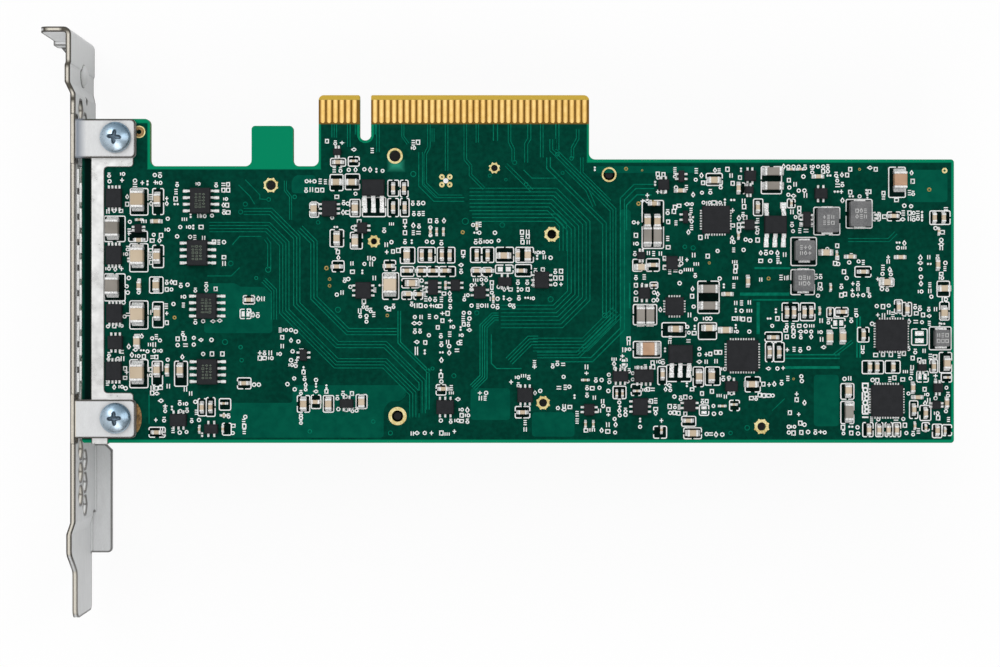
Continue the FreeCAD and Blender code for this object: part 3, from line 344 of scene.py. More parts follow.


# The bracket's sheared near edge: the faces, depths and side it shows on, and the painted shade where the
# sheet bends
CUT_LEAN = (0.7, 0.9)
CUT_DEPTH = (-8.5, -6.5)
SHEET_INSIDE = (-55.35, -55.45)
CUT_CREAM = (0.82, 0.77, 0.67)
BEND_SHADES = [(-58.4, -56.5, 11.9, 13.2), (-62.3, -61.0, 11.9, 13.2), (-57.9, -55.0, 5.3, 6.4),
               (-57.9, -55.0, 0.8, 2.4), (-57.2, -55.0, -1.4, -0.3)]
BEND_SOFT = 0.35
BEND_SHADE_TONE = (0.07, 0.06, 0.04)
# How strongly the painted edge shade lines show, from deep in the bracket up to its top
LINE_DEPTH = (-2.0, 1.0)
LINE_STRENGTH = (0.8, 1.0)


def sheared_edge(material):
    """Cream metal on the bracket's sheared near edge, with painted shade where the sheet bends, under its
    painted edge shade lines.
    """
    tree = material.node_tree
    lines = tree.nodes["Principled BSDF"].inputs["Base Color"].links[0].from_node.inputs
    face_tone = lines[MIX_FIRST].links[0].from_socket
    strength = lines["Factor"].links[0].from_socket
    place = axes(tree, place_on(tree))
    near = maths(tree, "MULTIPLY", spread(tree, axes(tree, face_normal(tree))["Z"], *CUT_LEAN),
                 spread(tree, place["Z"], *(depth * MM for depth in CUT_DEPTH)))
    cut = maths(tree, "MULTIPLY", near, spread(tree, place["X"], *(x * MM for x in SHEET_INSIDE)))
    edge_tone = mixed(tree, any_field(tree, BEND_SHADES, BEND_SOFT), CUT_CREAM, BEND_SHADE_TONE)
    tree.links.new(mixed(tree, cut, face_tone, edge_tone), lines[MIX_FIRST])
    shallow = spread(tree, place["Z"], *(depth * MM for depth in LINE_DEPTH), *LINE_STRENGTH)
    tree.links.new(maths(tree, "MULTIPLY", strength, shallow), lines["Factor"])


BOARD_MASK = board_finish()
TRACK_MASK = grained("masked_copper", (0.003, 0.21, 0.125), (0.0, 0.13, 0.08), 0.8, 0.36, 0.08, specular=0.02)
POUR_MASK = grained("masked_pour", (0.001, 0.108, 0.066), (0.0, 0.08, 0.051), 1.6, 0.36, 0.08, specular=0.02)
# Dark mask with painted shadow, for the frames round the parts and the hole by the upper ear
WELL_SHADE_MASK = grained("masked_well_shade", (0.001, 0.014, 0.01), (0.0, 0.005, 0.004), 0.9, 0.4, specular=0.02)
BORDER_MASK = grained("masked_border", (0.003, 0.28, 0.14), (0.002, 0.2, 0.1), 1.0, 0.36, 0.08, specular=0.02)
PRINT_WHITE = grained("white_print", (1.0, 1.0, 0.99), (0.93, 0.95, 0.94), 0.5, 0.6)
GOLD = grained("finger_gold", (1.0, 0.7, 0.26), (0.92, 0.6, 0.18), 1.2, 0.34, 0.08, metallic=0.85, depth=0.01)
finger_side_shade(GOLD)
RIM_GOLD = grained("rim_gold", (0.92, 0.82, 0.44), (0.62, 0.46, 0.15), 0.3, 0.4, 0.12, metallic=0.4)
VIA_GOLD = grained("via_gold", (0.5, 0.36, 0.1), (0.22, 0.16, 0.04), 0.3, 0.4, 0.12, metallic=0.4)
WORN_PLATING = grained("worn_plating", (0.42, 0.25, 0.09), (0.1, 0.05, 0.015), 0.3, 0.4, 0.12, metallic=0.4)
BRACKET_STEEL = edge_shaded("bracket_steel", (0.8, 0.81, 0.815), (0.73, 0.735, 0.74), 0.12, 0.4,
                      (0.04, 0.033, 0.025), 0.8, metallic=0.15, stretch=(1.0, 0.2, 1.0))
sheared_edge(BRACKET_STEEL)
# Shade on the upper ear, in the corner beside the sheet
field_shade(BRACKET_STEEL, [(-55.9, -54.3, -12.4, -4.5)], 0.9, (0.2, 0.23, 0.28))
STRAP_TIN = edge_shaded("strap_tin", (0.84, 0.84, 0.83), (0.62, 0.62, 0.61), 1.8, 0.34,
                  (0.1, 0.095, 0.085), 0.3, metallic=0.6, strength=0.08)
ZINC = edge_shaded("blue_zinc", (0.5, 0.63, 0.76), (0.38, 0.52, 0.66), 0.4, 0.22,
             (0.015, 0.03, 0.045), 0.4, metallic=0.95, strength=0.05)
ZINC_HEAD = grained("zinc_head", (0.6, 0.72, 0.82), (0.5, 0.63, 0.74), 0.5, 0.3, 0.05, metallic=0.9,
                    strength=0.03)
slope_shade(ZINC_HEAD, (0.45, 0.9, 0.0), (0.22, 0.34, 0.45))
# Painted shade for the screws' recess walls and the foot of their rims
ZINC_RECESS_SHADE = grained("zinc_recess_shade", (0.1, 0.15, 0.2), (0.05, 0.08, 0.11), 0.4, 0.3, metallic=0.5)
SHEARED_CREAM = grained("sheared_cream", (0.76, 0.71, 0.62), (0.64, 0.59, 0.5), 0.4, 0.4, metallic=0.15)
FOLD_SHADE = grained("fold_shade", (0.07, 0.06, 0.045), (0.03, 0.028, 0.02), 0.4, 0.5)
SPRING_STEEL = edge_shaded("spring_steel", (0.95, 0.95, 0.94), (0.85, 0.85, 0.84), 0.7, 0.24,
                     (0.05, 0.05, 0.05), 0.14, metallic=0.4)
FINGER_STEEL = grained("finger_steel", (1.0, 1.0, 0.99), (0.9, 0.9, 0.89), 0.7, 0.3, metallic=0.2)
CAGE_NICKEL = grained("cage_nickel", (0.68, 0.66, 0.62), (0.56, 0.54, 0.5), 0.9, 0.36, metallic=0.9)
SINK_METAL = grained("sink_aluminium", (0.68, 0.68, 0.69), (0.55, 0.55, 0.56), 0.5, 0.42, metallic=0.85,
                     stretch=(0.12, 1.0, 1.0))
# Shade on the heat sink under the drilled hole above it
field_shade(SINK_METAL, [(34.4, 37.3, -28.3, -25.3)], 0.3, (0.02, 0.02, 0.02))
PIN_BLACK = grained("pin_plastic", (0.008, 0.008, 0.009), (0.004, 0.004, 0.005), 0.4, 0.5, specular=0.2)
TIN = grained("tinned_lead", (1.0, 1.0, 0.99), (0.74, 0.74, 0.73), 0.3, 0.3, metallic=0.4)
SOLDER = grained("solder", (1.0, 1.0, 0.99), (0.8, 0.8, 0.79), 0.25, 0.28, metallic=0.3)
CHIP_BLACK = grained("chip_epoxy", (0.017, 0.018, 0.021), (0.009, 0.01, 0.012), 0.14, 0.5, 0.12,
                     strength=0.3, specular=0.2)
CHIP_MARK = grained("chip_marking", (0.16, 0.2, 0.15), (0.08, 0.11, 0.08), 0.2, 0.6)
INDUCTOR_GREY = grained("inductor_powder", (0.2, 0.2, 0.202), (0.105, 0.108, 0.112), 0.28, 0.5, 0.12,
                        strength=0.35)
INDUCTOR_MARK = grained("inductor_stamp", (0.62, 0.62, 0.61), (0.42, 0.42, 0.42), 0.3, 0.5)
CERAMIC = grained("ceramic_tan", (0.74, 0.61, 0.45), (0.56, 0.44, 0.3), 9.0, 0.42)
CERAMIC_BROWN = grained("ceramic_brown", (0.6, 0.37, 0.23), (0.43, 0.26, 0.16), 3.0, 0.42)
CERAMIC_GREY = grained("ceramic_grey", (0.34, 0.31, 0.275), (0.24, 0.22, 0.19), 5.0, 0.42)
SOCKET_BLACK = grained("socket_plastic", (0.03, 0.03, 0.032), (0.018, 0.018, 0.02), 0.4, 0.48)
PAD_GREY = grained("thermal_pad", (0.42, 0.42, 0.44), (0.33, 0.33, 0.35), 0.5, 0.7)

FINISHES = {
    "circuit_board": BOARD_MASK, "contact_fingers": GOLD, "bracket": BRACKET_STEEL,
    "bracket_screws": ZINC, "bracket_nuts": ZINC, "ground_strap": STRAP_TIN, "emi_gasket": SPRING_STEEL,
    "cage_base": CAGE_NICKEL, "cage_cover": CAGE_NICKEL, "cage_dividers": CAGE_NICKEL,
    "port_sockets": SOCKET_BLACK, "port_blades": GOLD, "controller_chip": CHIP_BLACK,
    "thermal_pad": PAD_GREY, "heat_sink": SINK_METAL, "heat_sink_pins": PIN_BLACK,
    "driver_chip_bodies": CHIP_BLACK, "driver_chip_leads": TIN, "boot_memory_body": CHIP_BLACK,
    "boot_memory_leads": TIN, "leadless_chips": CHIP_BLACK, "square_chips": CHIP_BLACK,
    "transistor_bodies": CHIP_BLACK, "transistor_leads": TIN, "small_chips": CHIP_BLACK,
    "inductors": INDUCTOR_GREY, "big_capacitor_bodies": CERAMIC, "big_capacitor_ends": TIN,
    "long_capacitor_bodies": CERAMIC, "long_capacitor_ends": TIN, "mid_capacitors": CERAMIC,
    "small_capacitors": CERAMIC, "tiny_capacitors": CERAMIC, "coupling_capacitors": CERAMIC,
    "clock_can": CAGE_NICKEL,
}


def dress_nodes():
    for name, node in NODES.items():
        if not node.material_slots:
            node.data.materials.append(FINISHES[name])
        for slot in node.material_slots:
            slot.material = FINISHES[name]


# Mesh helpers

WELD = 0.0001


def solids(name):
    """The lowest and highest corners, in millimetres, of each separate solid in a node."""
    mesh = bmesh.new()
    mesh.from_mesh(NODES[name].data)
    bmesh.ops.remove_doubles(mesh, verts=mesh.verts, dist=WELD * MM)
    boxes = []
    left = set(mesh.verts)
    while left:
        reached = [left.pop()]
        for vert in reached:
            near = {edge.other_vert(vert) for edge in vert.link_edges} & left
            left -= near
            reached.extend(near)
        corners = list(zip(*[vert.co / MM for vert in reached]))
        boxes.append((Vector(map(min, corners)), Vector(map(max, corners))))
    mesh.free()
    return sorted(boxes, key=lambda box: (round(box[0].x, 2), round(box[0].y, 2)))


def add_object(name, data):
    made = bpy.data.objects.new(name, data)
    bpy.context.scene.collection.objects.link(made)
    return made


def mesh_object(name, mesh, materials):
    data = bpy.data.meshes.new(name)
    mesh.to_mesh(data)
    mesh.free()
    for material in materials:
        data.materials.append(material)
    return add_object(name, data)


def piece(name, mesh, materials, smooth=False):
    """Makes the object from a bmesh in metres and lets it ride on the card."""
    made = mesh_object(name, mesh, materials)
    if smooth:
        made.data.shade_smooth()
    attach(made, "root")
    return made


def solid_piece(name, mesh, materials, smooth=False):
    bmesh.ops.recalc_face_normals(mesh, faces=mesh.faces)
    return piece(name, mesh, materials, smooth)


def flat_piece(name, mesh, material):
    mesh.normal_update()
    bmesh.ops.reverse_faces(mesh, faces=[face for face in mesh.faces if face.normal.z < 0])
    piece(name, mesh, [material])


def shaped_block(mesh, shape, material=0):
    """A cube whose corners, from -0.5 to 0.5, are carried to where shape says, in millimetres."""
    verts = bmesh.ops.create_cube(mesh, size=1.0)["verts"]
    for vert in verts:
        vert.co = Vector(shape(*vert.co)) * MM
    for face in {face for vert in verts for face in vert.link_faces}:
        face.material_index = material


def box_block(mesh, low, high, material=0):
    middle = (low + high) / 2
    size = high - low
    shaped_block(mesh, lambda u, v, w: middle + Vector((u * size.x, v * size.y, w * size.z)), material)


def rounded(mesh, width, segments=1, affect="EDGES"):
    """Rounds every edge of the shapes in a mesh or, with VERTICES, every corner of flat ones."""
    parts = mesh.edges[:] if affect == "EDGES" else mesh.verts[:]
    bmesh.ops.bevel(mesh, geom=parts, offset=width * MM, offset_type="OFFSET", segments=segments, profile=0.5,
                    affect=affect, material=-1)


def disc(mesh, x, y, radius, steps):
    place = Matrix.Translation(Vector((x, y, SOLDER_FACE + DISC_LIFT)) * MM)
    bmesh.ops.create_circle(mesh, cap_ends=True, segments=steps, radius=radius * MM, matrix=place)


def long_way(size):
    return ALONG_X if abs(size.x) > abs(size.y) else ALONG_Y


# Chip capacitors with metal ends and solder at each end

CAP_BODY = 0
CAP_END = 1
CAP_SOLDER = 2
GREY_CAP_RIGHT = -44.0
BROWN_CAP_LEFT = 40.0
BODY_INSET = 0.04
# Solder wedge: its reach, and more of it for each millimetre of height, its rise, overlap, knee and taper
WEDGE_REACH = 0.22
WEDGE_MORE = 0.28
WEDGE_RISE = 0.6
WEDGE_OVERLAP = 0.02
WEDGE_KNEE = (0.3, 0.55)
WEDGE_TAPER = 0.12


def solder_wedge(mesh, foot, outward, reach, width, height):
    """Solder that runs up from the board at foot, which is on the board under the face it wets."""
    side = outward.cross(UP)

    def shape(u, v, w):
        out = (u + 0.5) * reach
        up = (w + 0.5) * height
        if u > 0 and w > 0:
            out = WEDGE_KNEE[0] * reach
            up = WEDGE_KNEE[1] * height
        narrow = 1.0 - WEDGE_TAPER * (u + 0.5)
        return foot + outward * out + side * (v * width * narrow) + UP * up

    shaped_block(mesh, shape, CAP_SOLDER)


def capacitor_boxes(bodies, ends):
    """Each body with its two ends, as one box and the direction of its length."""
    end_boxes = solids(ends)
    found = []
    for low, high in solids(bodies):
        middle = (low + high) / 2
        mine = sorted(end_boxes, key=lambda box: ((box[0] + box[1]) / 2 - middle).length)[:2]
        apart = (mine[0][0] + mine[0][1]) / 2 - (mine[1][0] + mine[1][1]) / 2
        corners = list(zip(low, high, *mine[0], *mine[1]))
        found.append((Vector(map(min, corners)), Vector(map(max, corners)), long_way(apart)))
    return found


def plain_boxes(node):
    """Each one-piece chip as a box and the direction of its length."""
    return [(low, high, long_way(high - low)) for low, high in solids(node)]


def chip_capacitors(name, boxes, nodes, end, rounding, finish, downward=False):
    mesh = bmesh.new()
    for low, high, along in boxes:
        sides = BODY_INSET * (ALONG_X + ALONG_Y - along)
        top = UP * (0.0 if downward else BODY_INSET / 2)
        box_block(mesh, low + along * end + sides, high - along * end - sides - top, CAP_BODY)
        rest = along * ((high - low).dot(along) - end)
        box_block(mesh, low, high - rest, CAP_END)
        box_block(mesh, low + rest, high, CAP_END)
    rounded(mesh, rounding)
    for low, high, along in boxes:
        size = high - low
        width = size.dot(ALONG_X + ALONG_Y - along)
        rise = WEDGE_RISE * size.z * (-1 if downward else 1)
        for way in (1, -1):
            foot = (low + high) / 2 + along * (way * (size.dot(along) / 2 - WEDGE_OVERLAP))
            foot.z = high.z if downward else low.z
            solder_wedge(mesh, foot, along * way, WEDGE_REACH + WEDGE_MORE * size.z, width, rise)
    made = solid_piece(name, mesh, [finish, TIN, SOLDER])
    if nodes:
        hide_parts(*nodes)


def all_capacitors():
    """Draws every capacitor and gives the boxes of those on the solder face."""
    big = capacitor_boxes("big_capacitor_bodies", "big_capacitor_ends")
    long = capacitor_boxes("long_capacitor_bodies", "long_capacitor_ends")
    mid, small, tiny, coupling = [plain_boxes(kind + "_capacitors")
                                  for kind in ("mid", "small", "tiny", "coupling")]
    grey = [box for box in big if box[1].x < GREY_CAP_RIGHT]
    brown = [box for box in big if box[0].x > BROWN_CAP_LEFT]
    tan = [box for box in big if box not in grey + brown]
    # Name, boxes, replaced nodes, length of the metal ends, rounding and finish
    for kind in (
        ("big_capacitors", tan, ["big_capacitor_bodies", "big_capacitor_ends"], 0.5, 0.1, CERAMIC),
        ("strap_capacitors", grey, [], 0.5, 0.1, CERAMIC_GREY),
        ("brown_capacitors", brown, [], 0.5, 0.1, CERAMIC_BROWN),
        ("long_capacitors", long, ["long_capacitor_bodies", "long_capacitor_ends"], 0.45, 0.08, CERAMIC_GREY),
        ("mid_capacitor_set", mid, ["mid_capacitors"], 0.4, 0.06, CERAMIC),
        ("small_capacitor_set", small, ["small_capacitors"], 0.35, 0.05, CERAMIC),
        ("tiny_capacitor_set", tiny, ["tiny_capacitors"], 0.24, 0.03, CERAMIC),
        ("coupling_capacitor_set", coupling, ["coupling_capacitors"], 0.24, 0.03, CERAMIC, True),
    ):
        chip_capacitors(*kind)
    return big + long + mid + small + tiny


# Solder and leads of the moulded chips

TOE_BACK = 0.45
TOE_WIDER = 0.25
TOE_ROUNDING = 0.08
# The mound's top: its share of the length and width, and its height
TOE_TOP = (0.85, 0.75, 0.24)


def chip_side(low, high, away, inset):
    """The way along one side of a box and the middle of that side on the board, set in by that much."""
    along = Vector((abs(away.x), abs(away.y), 0))
    edge = (low + high) / 2 + away * ((high - low).dot(along) / 2 - inset)
    edge.z = SOLDER_FACE
    return Vector((along.y, along.x, 0)), edge


def toe_solder(mesh, low, high, away):
    """A low mound of solder under and beyond a lead's toe."""
    side, toe = chip_side(low, high, away, TOE_BACK)
    width = (high - low).dot(side) + TOE_WIDER

    def shape(u, v, w):
        length_share, width_share, up = TOE_TOP if w > 0 else (1.0, 1.0, 0.0)
        return toe + away * ((u + 0.5) * length_share) + side * (v * width * width_share) + UP * up

    shaped_block(mesh, shape)


def lead_solder():
    mesh = bmesh.new()
    for kind in ("driver_chip", "transistor"):
        bodies = [(low + high) / 2 for low, high in solids(kind + "_bodies")]
        for low, high in solids(kind + "_leads"):
            middle = (low + high) / 2
            out = middle - min(bodies, key=lambda place: (place - middle).length)
            along = long_way(high - low)
            toe_solder(mesh, low, high, along * math.copysign(1, out.dot(along)))
    rounded(mesh, TOE_ROUNDING)
    solid_piece("lead_solder", mesh, [SOLDER])


SIDES_X = (ALONG_X, -ALONG_X)
SIDES_Y = (ALONG_Y, -ALONG_Y)
TERMINAL_INSET = 0.1
TERMINAL_ROUNDING = 0.05
# Terminals of each kind of chip: pitch, width, reach and height
SQUARE_PINS = (0.5, 0.28, 0.5, 0.06)
LEADLESS_PINS = (0.68, 0.42, 0.75, 0.12)
INDUCTOR_PINS = (1.0, 2.2, 0.5, 0.5)
SMALL_PINS = (0.42, 0.75, 0.3)
SQUARE_MARGIN = 0.8
LEADLESS_COUNT = 4
SMALL_MARGIN = 0.35
SMALL_ROOM = 0.9
SMALL_COUNTS = (2, 4)


def edge_row(mesh, low, high, away, count, pitch, width, reach, height):
    """A row of short flat terminals along one side of a chip."""
    side, edge = chip_side(low, high, away, TERMINAL_INSET)
    for number in range(count):
        start = edge + side * ((number - (count - 1) / 2) * pitch)

        def shape(u, v, w):
            return start + away * ((u + 0.5) * reach) + side * (v * width) + UP * ((w + 0.5) * height)

        shaped_block(mesh, shape)


def chip_terminals():
    mesh = bmesh.new()
    for low, high in solids("square_chips"):
        count = int((high.x - low.x - SQUARE_MARGIN) / SQUARE_PINS[0])
        for away in SIDES_X + SIDES_Y:
            edge_row(mesh, low, high, away, count, *SQUARE_PINS)
    for low, high in solids("leadless_chips"):
        for away in SIDES_Y:
            edge_row(mesh, low, high, away, LEADLESS_COUNT, *LEADLESS_PINS)
    for low, high in solids("small_chips"):
        size = high - low
        span = max(size.x, size.y)
        count = max(SMALL_COUNTS[0], min(SMALL_COUNTS[1], int(span / SMALL_ROOM)))
        for away in SIDES_Y if size.x >= size.y else SIDES_X:
            edge_row(mesh, low, high, away, count, (span - SMALL_MARGIN) / count, *SMALL_PINS)
    for low, high in solids("inductors"):
        for away in SIDES_Y:
            edge_row(mesh, low, high, away, 1, *INDUCTOR_PINS)
    rounded(mesh, TERMINAL_ROUNDING)
    solid_piece("chip_terminals", mesh, [TIN])


# Spring fingers of the gasket, folded up between the bracket and the board in two staggered columns

# Left and right side, crest and the share of a pitch by which the column is staggered
FINGER_COLUMNS = [(-55.45, -54.98, 1.35, 0.0), (-54.98, -54.53, 0.95, 0.55)]
FINGER_FOOT = -0.5
FINGER_PITCH = 4.9
FINGER_LENGTH = 3.75
FINGER_RANGE = (-58.4, -14.2)
FINGER_ROUNDING = (0.14, 2)


def gasket_fingers():
    mesh = bmesh.new()
    for left, right, crest, stagger in FINGER_COLUMNS:
        y = FINGER_RANGE[1] - stagger * FINGER_PITCH
        while y - FINGER_LENGTH > FINGER_RANGE[0]:
            box_block(mesh, Vector((left, y - FINGER_LENGTH, FINGER_FOOT)), Vector((right, y, crest)))
            y -= FINGER_PITCH
    rounded(mesh, *FINGER_ROUNDING)
    solid_piece("gasket_fingers", mesh, [FINGER_STEEL], smooth=True)


# Springs on the heat sink's pins

PIN_PLACES = [(46.85, -15.31), (6.17, -61.75)]
SPRING_RADIUS = 2.05
SPRING_WIRE = 0.25
WIRE_SIDES = 8
SPRING_TOP = -6.95
SPRING_DROP = -2.45
SPRING_TURNS = 3.5
SPRING_STEPS = 70


def pin_springs():
    mesh = bmesh.new()
    upright = Matrix.Rotation(math.pi / 2, 4, "X")
    for x, y in PIN_PLACES:
        place = Matrix.Translation(Vector((x + SPRING_RADIUS, y, SPRING_TOP)) * MM)
        ring = bmesh.ops.create_circle(mesh, segments=WIRE_SIDES, radius=SPRING_WIRE * MM,
                                       matrix=place @ upright)["verts"]
        edges = list({edge for vert in ring for edge in vert.link_edges})
        bmesh.ops.spin(mesh, geom=ring + edges, cent=Vector((x, y, SPRING_TOP)) * MM, axis=(0, 0, 1),
                       dvec=(0, 0, SPRING_DROP * MM / SPRING_STEPS), angle=2 * math.pi * SPRING_TURNS,
                       steps=SPRING_STEPS, use_merge=False, use_duplicate=False)
    bmesh.ops.holes_fill(mesh, edges=[edge for edge in mesh.edges if edge.is_boundary], sides=WIRE_SIDES)
    solid_piece("pin_springs", mesh, [SPRING_STEEL], smooth=True)


# Bracket screws: a low dome with a rounded rim and a four-lobed recess, on the same shank; painted shade
# darkens the rim's foot and the recess walls

SCREW_SPOTS = [(-47.8, -8.3), (-47.8, -62.1)]
HEAD_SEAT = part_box("bracket")[1].z / MM
# Radius and height of the shank's top and of the rim, from the seat
HEAD_RIM = [(1.45, 0.0), (2.84, 0.0), (2.95, 0.1), (2.95, 0.45), (2.8, 0.72)]
HEAD_TOP = 1.85
HEAD_STEPS = 64
DOME_SHARES = (0.85, 0.68, 0.5, 0.3, 0.14, 0.05, 0.0)
LOBES = 4
LOBE_NEAR = 0.62
LOBE_FAR = 1.4
LOBE_POWER = 0.85
# Share of the lobe's size and depth of each step down into the recess
RECESS_ROWS = [(0.95, 0.08), (0.8, 0.5), (0.68, 0.62)]
RECESS_TURNS = (-6.0, 3.0)
# Finishes of the head's rings: its face, and painted shade on the rim's foot and the recess walls
HEAD_FACE = 0
HEAD_SHADE = 1


def head_rows(turn):
    """From the shank inward, each ring's radius and height at an angle, and the finish that leads to it."""
    rim_radius, rim_height = HEAD_RIM[-1]

    def lobe(angle):
        swell = (1 + math.cos(LOBES * (angle - math.radians(turn)))) / 2
        return LOBE_NEAR + (LOBE_FAR - LOBE_NEAR) * swell ** LOBE_POWER

    def on_dome(angle, share):
        radius = lobe(angle) + (rim_radius - lobe(angle)) * share
        return radius, rim_height + (HEAD_TOP - rim_height) * (1 - (radius / rim_radius) ** 2)

    rows = [(lambda angle, spot=spot: spot, HEAD_SHADE) for spot in HEAD_RIM[:-1]]
    rows.append((lambda angle: HEAD_RIM[-1], HEAD_FACE))
    rows += [(lambda angle, share=share: on_dome(angle, share), HEAD_FACE) for share in DOME_SHARES]
    rows += [(lambda angle, share=share, deep=deep: (lobe(angle) * share, HEAD_TOP - deep), HEAD_SHADE)
             for share, deep in RECESS_ROWS]
    return rows


def screw_heads():
    shank_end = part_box("bracket_screws")[0].z / MM
    mesh = bmesh.new()
    for (x, y), turn in zip(SCREW_SPOTS, RECESS_TURNS):
        foot = Matrix.Translation(Vector((x, y, shank_end)) * MM)
        ring = bmesh.ops.create_circle(mesh, cap_ends=True, segments=HEAD_STEPS, radius=HEAD_RIM[0][0] * MM,
                                       matrix=foot)["verts"]
        edges = list({edge for vert in ring for edge in vert.link_edges})
        for row, material in head_rows(turn):
            made = bmesh.ops.extrude_edge_only(mesh, edges=edges)["geom"]
            edges = [part for part in made if isinstance(part, bmesh.types.BMEdge) and part.is_boundary]
            for part in made:
                if isinstance(part, bmesh.types.BMFace):
                    part.material_index = material
                elif isinstance(part, bmesh.types.BMVert):
                    angle = math.atan2(part.co.y - y * MM, part.co.x - x * MM)
                    radius, height = row(angle)
                    part.co = Vector((x + radius * math.cos(angle), y + radius * math.sin(angle),
                                      HEAD_SEAT + height)) * MM
        bmesh.ops.holes_fill(mesh, edges=edges, sides=HEAD_STEPS)
    made = solid_piece("screw_heads", mesh, [ZINC_HEAD, ZINC_RECESS_SHADE], smooth=True)
    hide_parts("bracket_screws")


# Sheet edge running on past the two ears, with a line of painted shade on either side of it

EAR_FOLDS = [(-13.2, -3.8), (-66.95, -57.55)]
# Left and right side, top and finish of each strip
FOLD_STRIPS = [(-56.5, -56.32, 1.95, 1), (-56.32, -55.82, 2.05, 0), (-55.82, -55.62, 2.04, 1)]
FOLD_LOW = 0.9


def ear_fold_edges():
    mesh = bmesh.new()
    for near, far in EAR_FOLDS:
        for left, right, top, material in FOLD_STRIPS:
            box_block(mesh, Vector((left, near, FOLD_LOW)), Vector((right, far, top)), material)
    solid_piece("ear_fold_edges", mesh, [SHEARED_CREAM, FOLD_SHADE])


# Flat work on the solder face: pours, tracks, plated rims and print, each a little above the mask

# Plain shapes of the printed marks in a box 0.76 wide and 1 high: rings by middle and half sizes, then bars
MARK_SHAPES = {
    "ring": ([(0.38, 0.5, 0.33, 0.33)], []),
    "diamond": ([], [[(0.38, 0.02), (0.7, 0.5), (0.38, 0.98), (0.06, 0.5), (0.38, 0.02)]]),
    "dot_pair": ([(0.38, 0.2, 0.12, 0.12), (0.38, 0.78, 0.12, 0.12)], []),
    "three_bars": ([], [[(0.06, v), (0.7, v)] for v in (0.08, 0.5, 0.92)]),
    "plus": ([], [[(0.38, 0.08), (0.38, 0.92)], [(0.02, 0.5), (0.74, 0.5)]]),
    "ring_and_bar": ([(0.38, 0.3, 0.3, 0.28)], [[(0.08, 0.9), (0.68, 0.9)]]),
    "bar_pair": ([], [[(0.14, 0.05), (0.14, 0.95)], [(0.62, 0.05), (0.62, 0.95)]]),
    "square": ([], [[(0.06, 0.12), (0.7, 0.12), (0.7, 0.88), (0.06, 0.88), (0.06, 0.02)]]),
}
MARK_CHOICES = (["ring", "ring_and_bar", "square"] * 4 + ["three_bars", "diamond", "bar_pair"] * 2
                + ["dot_pair", "plus"])
STAMP_CHOICES = ["square", "three_bars", "diamond", "bar_pair", "plus"]
MARK_WIDTH = 0.76
MARK_STROKE = 0.2
MARK_SIZES = (0.86, 1.04)
MARK_TURNED = 0.25
MARK_RING_STEPS = 9
STRIP_STAGGER = 0.0012
STRIP_LEVELS = 7
SHARPEST_BEND = 0.6


def bend_at(points, number, closed=False):
    """A point of a line, the way across the line there, and that way's share of a step across it."""
    here = Vector(points[number])
    ways = []
    if number > 0 or closed:
        ways.append((here - Vector(points[number - 1])).normalized())
    if number < len(points) - 1 or closed:
        ways.append((Vector(points[(number + 1) % len(points)]) - here).normalized())
    along = (ways[0] + ways[-1]).normalized()
    edge = Vector((-along.y, along.x))
    return here, edge, edge.dot(Vector((-ways[0].y, ways[0].x)))


def start_strips():
    mesh = bmesh.new()
    return mesh, mesh.verts.layers.float_vector.new("half_width")


def strip(mesh, layer, points, width, height, closed=False):
    """Lays the centre line of a flat strip; each point keeps the way to the strip's edge until it is widened.

    Neighbouring strips lie at slightly different heights, so that crossing ones never share a plane.
    """
    level = height + len(mesh.edges) % STRIP_LEVELS * STRIP_STAGGER
    verts = []
    for number in range(len(points)):
        here, edge, share = bend_at(points, number, closed)
        vert = mesh.verts.new(Vector((here.x, here.y, level)) * MM)
        vert[layer] = Vector((edge.x, edge.y, 0)) * (width / 2 / max(SHARPEST_BEND, share) * MM)
        verts.append(vert)
    for first, second in zip(verts, verts[1:] + verts[:1] if closed else verts[1:]):
        mesh.edges.new((first, second))


def widen_strips(mesh, layer):
    made = bmesh.ops.extrude_edge_only(mesh, edges=mesh.edges[:])["geom"]
    fresh = {item for item in made if isinstance(item, bmesh.types.BMVert)}
    for vert in mesh.verts:
        vert.co += vert[layer] if vert in fresh else -vert[layer]
    mesh.verts.layers.float_vector.remove(layer)


def strip_piece(name, mesh, layer, material):
    widen_strips(mesh, layer)
    flat_piece(name, mesh, material)


def rectangle(left, right, low, high):
    return [(left, low), (right, low), (right, high), (left, high)]


def patch(mesh, points, height):
    mesh.faces.new([mesh.verts.new(Vector((x, y, height)) * MM) for x, y in points])


def ellipse(x, y, wide, tall, steps):
    turn = 2 * math.pi / steps
    return [(x + wide * math.cos(i * turn), y + tall * math.sin(i * turn)) for i in range(steps)]


def arc(x, y, radius, start, stop, steps):
    turns = [start + (stop - start) * step / steps for step in range(steps + 1)]
    return [(x + radius * math.cos(turn), y + radius * math.sin(turn)) for turn in turns]


def mark(mesh, layer, x, y, shape, size, stroke, height, turned=False):
    """One plain shape, centred at x, y."""
    def place(u, v):
        across = (u - MARK_WIDTH / 2) * size
        up = (v - 0.5) * size
        return (x - up, y + across) if turned else (x + across, y + up)

    rings, bars = MARK_SHAPES[shape]
    for ring in rings:
        points = [place(u, v) for u, v in ellipse(*ring, MARK_RING_STEPS)]
        strip(mesh, layer, points, stroke, height, closed=True)
    for bar in bars:
        strip(mesh, layer, [place(u, v) for u, v in bar], stroke, height)


FRAME_RADIUS = 0.28
FRAME_STROKE = 0.21
ROUNDEST_SHARE = 3
CORNER_STEPS = 3
GAP_CHOICES = (0.0, 0.0, 0.18, 0.4)
# The four quarters of a frame: which side and end they are on, and which of its four gaps they run between
FRAME_QUARTERS = [(1, 1, 0, 1), (-1, 1, 0, 2), (1, -1, 3, 1), (-1, -1, 3, 2)]


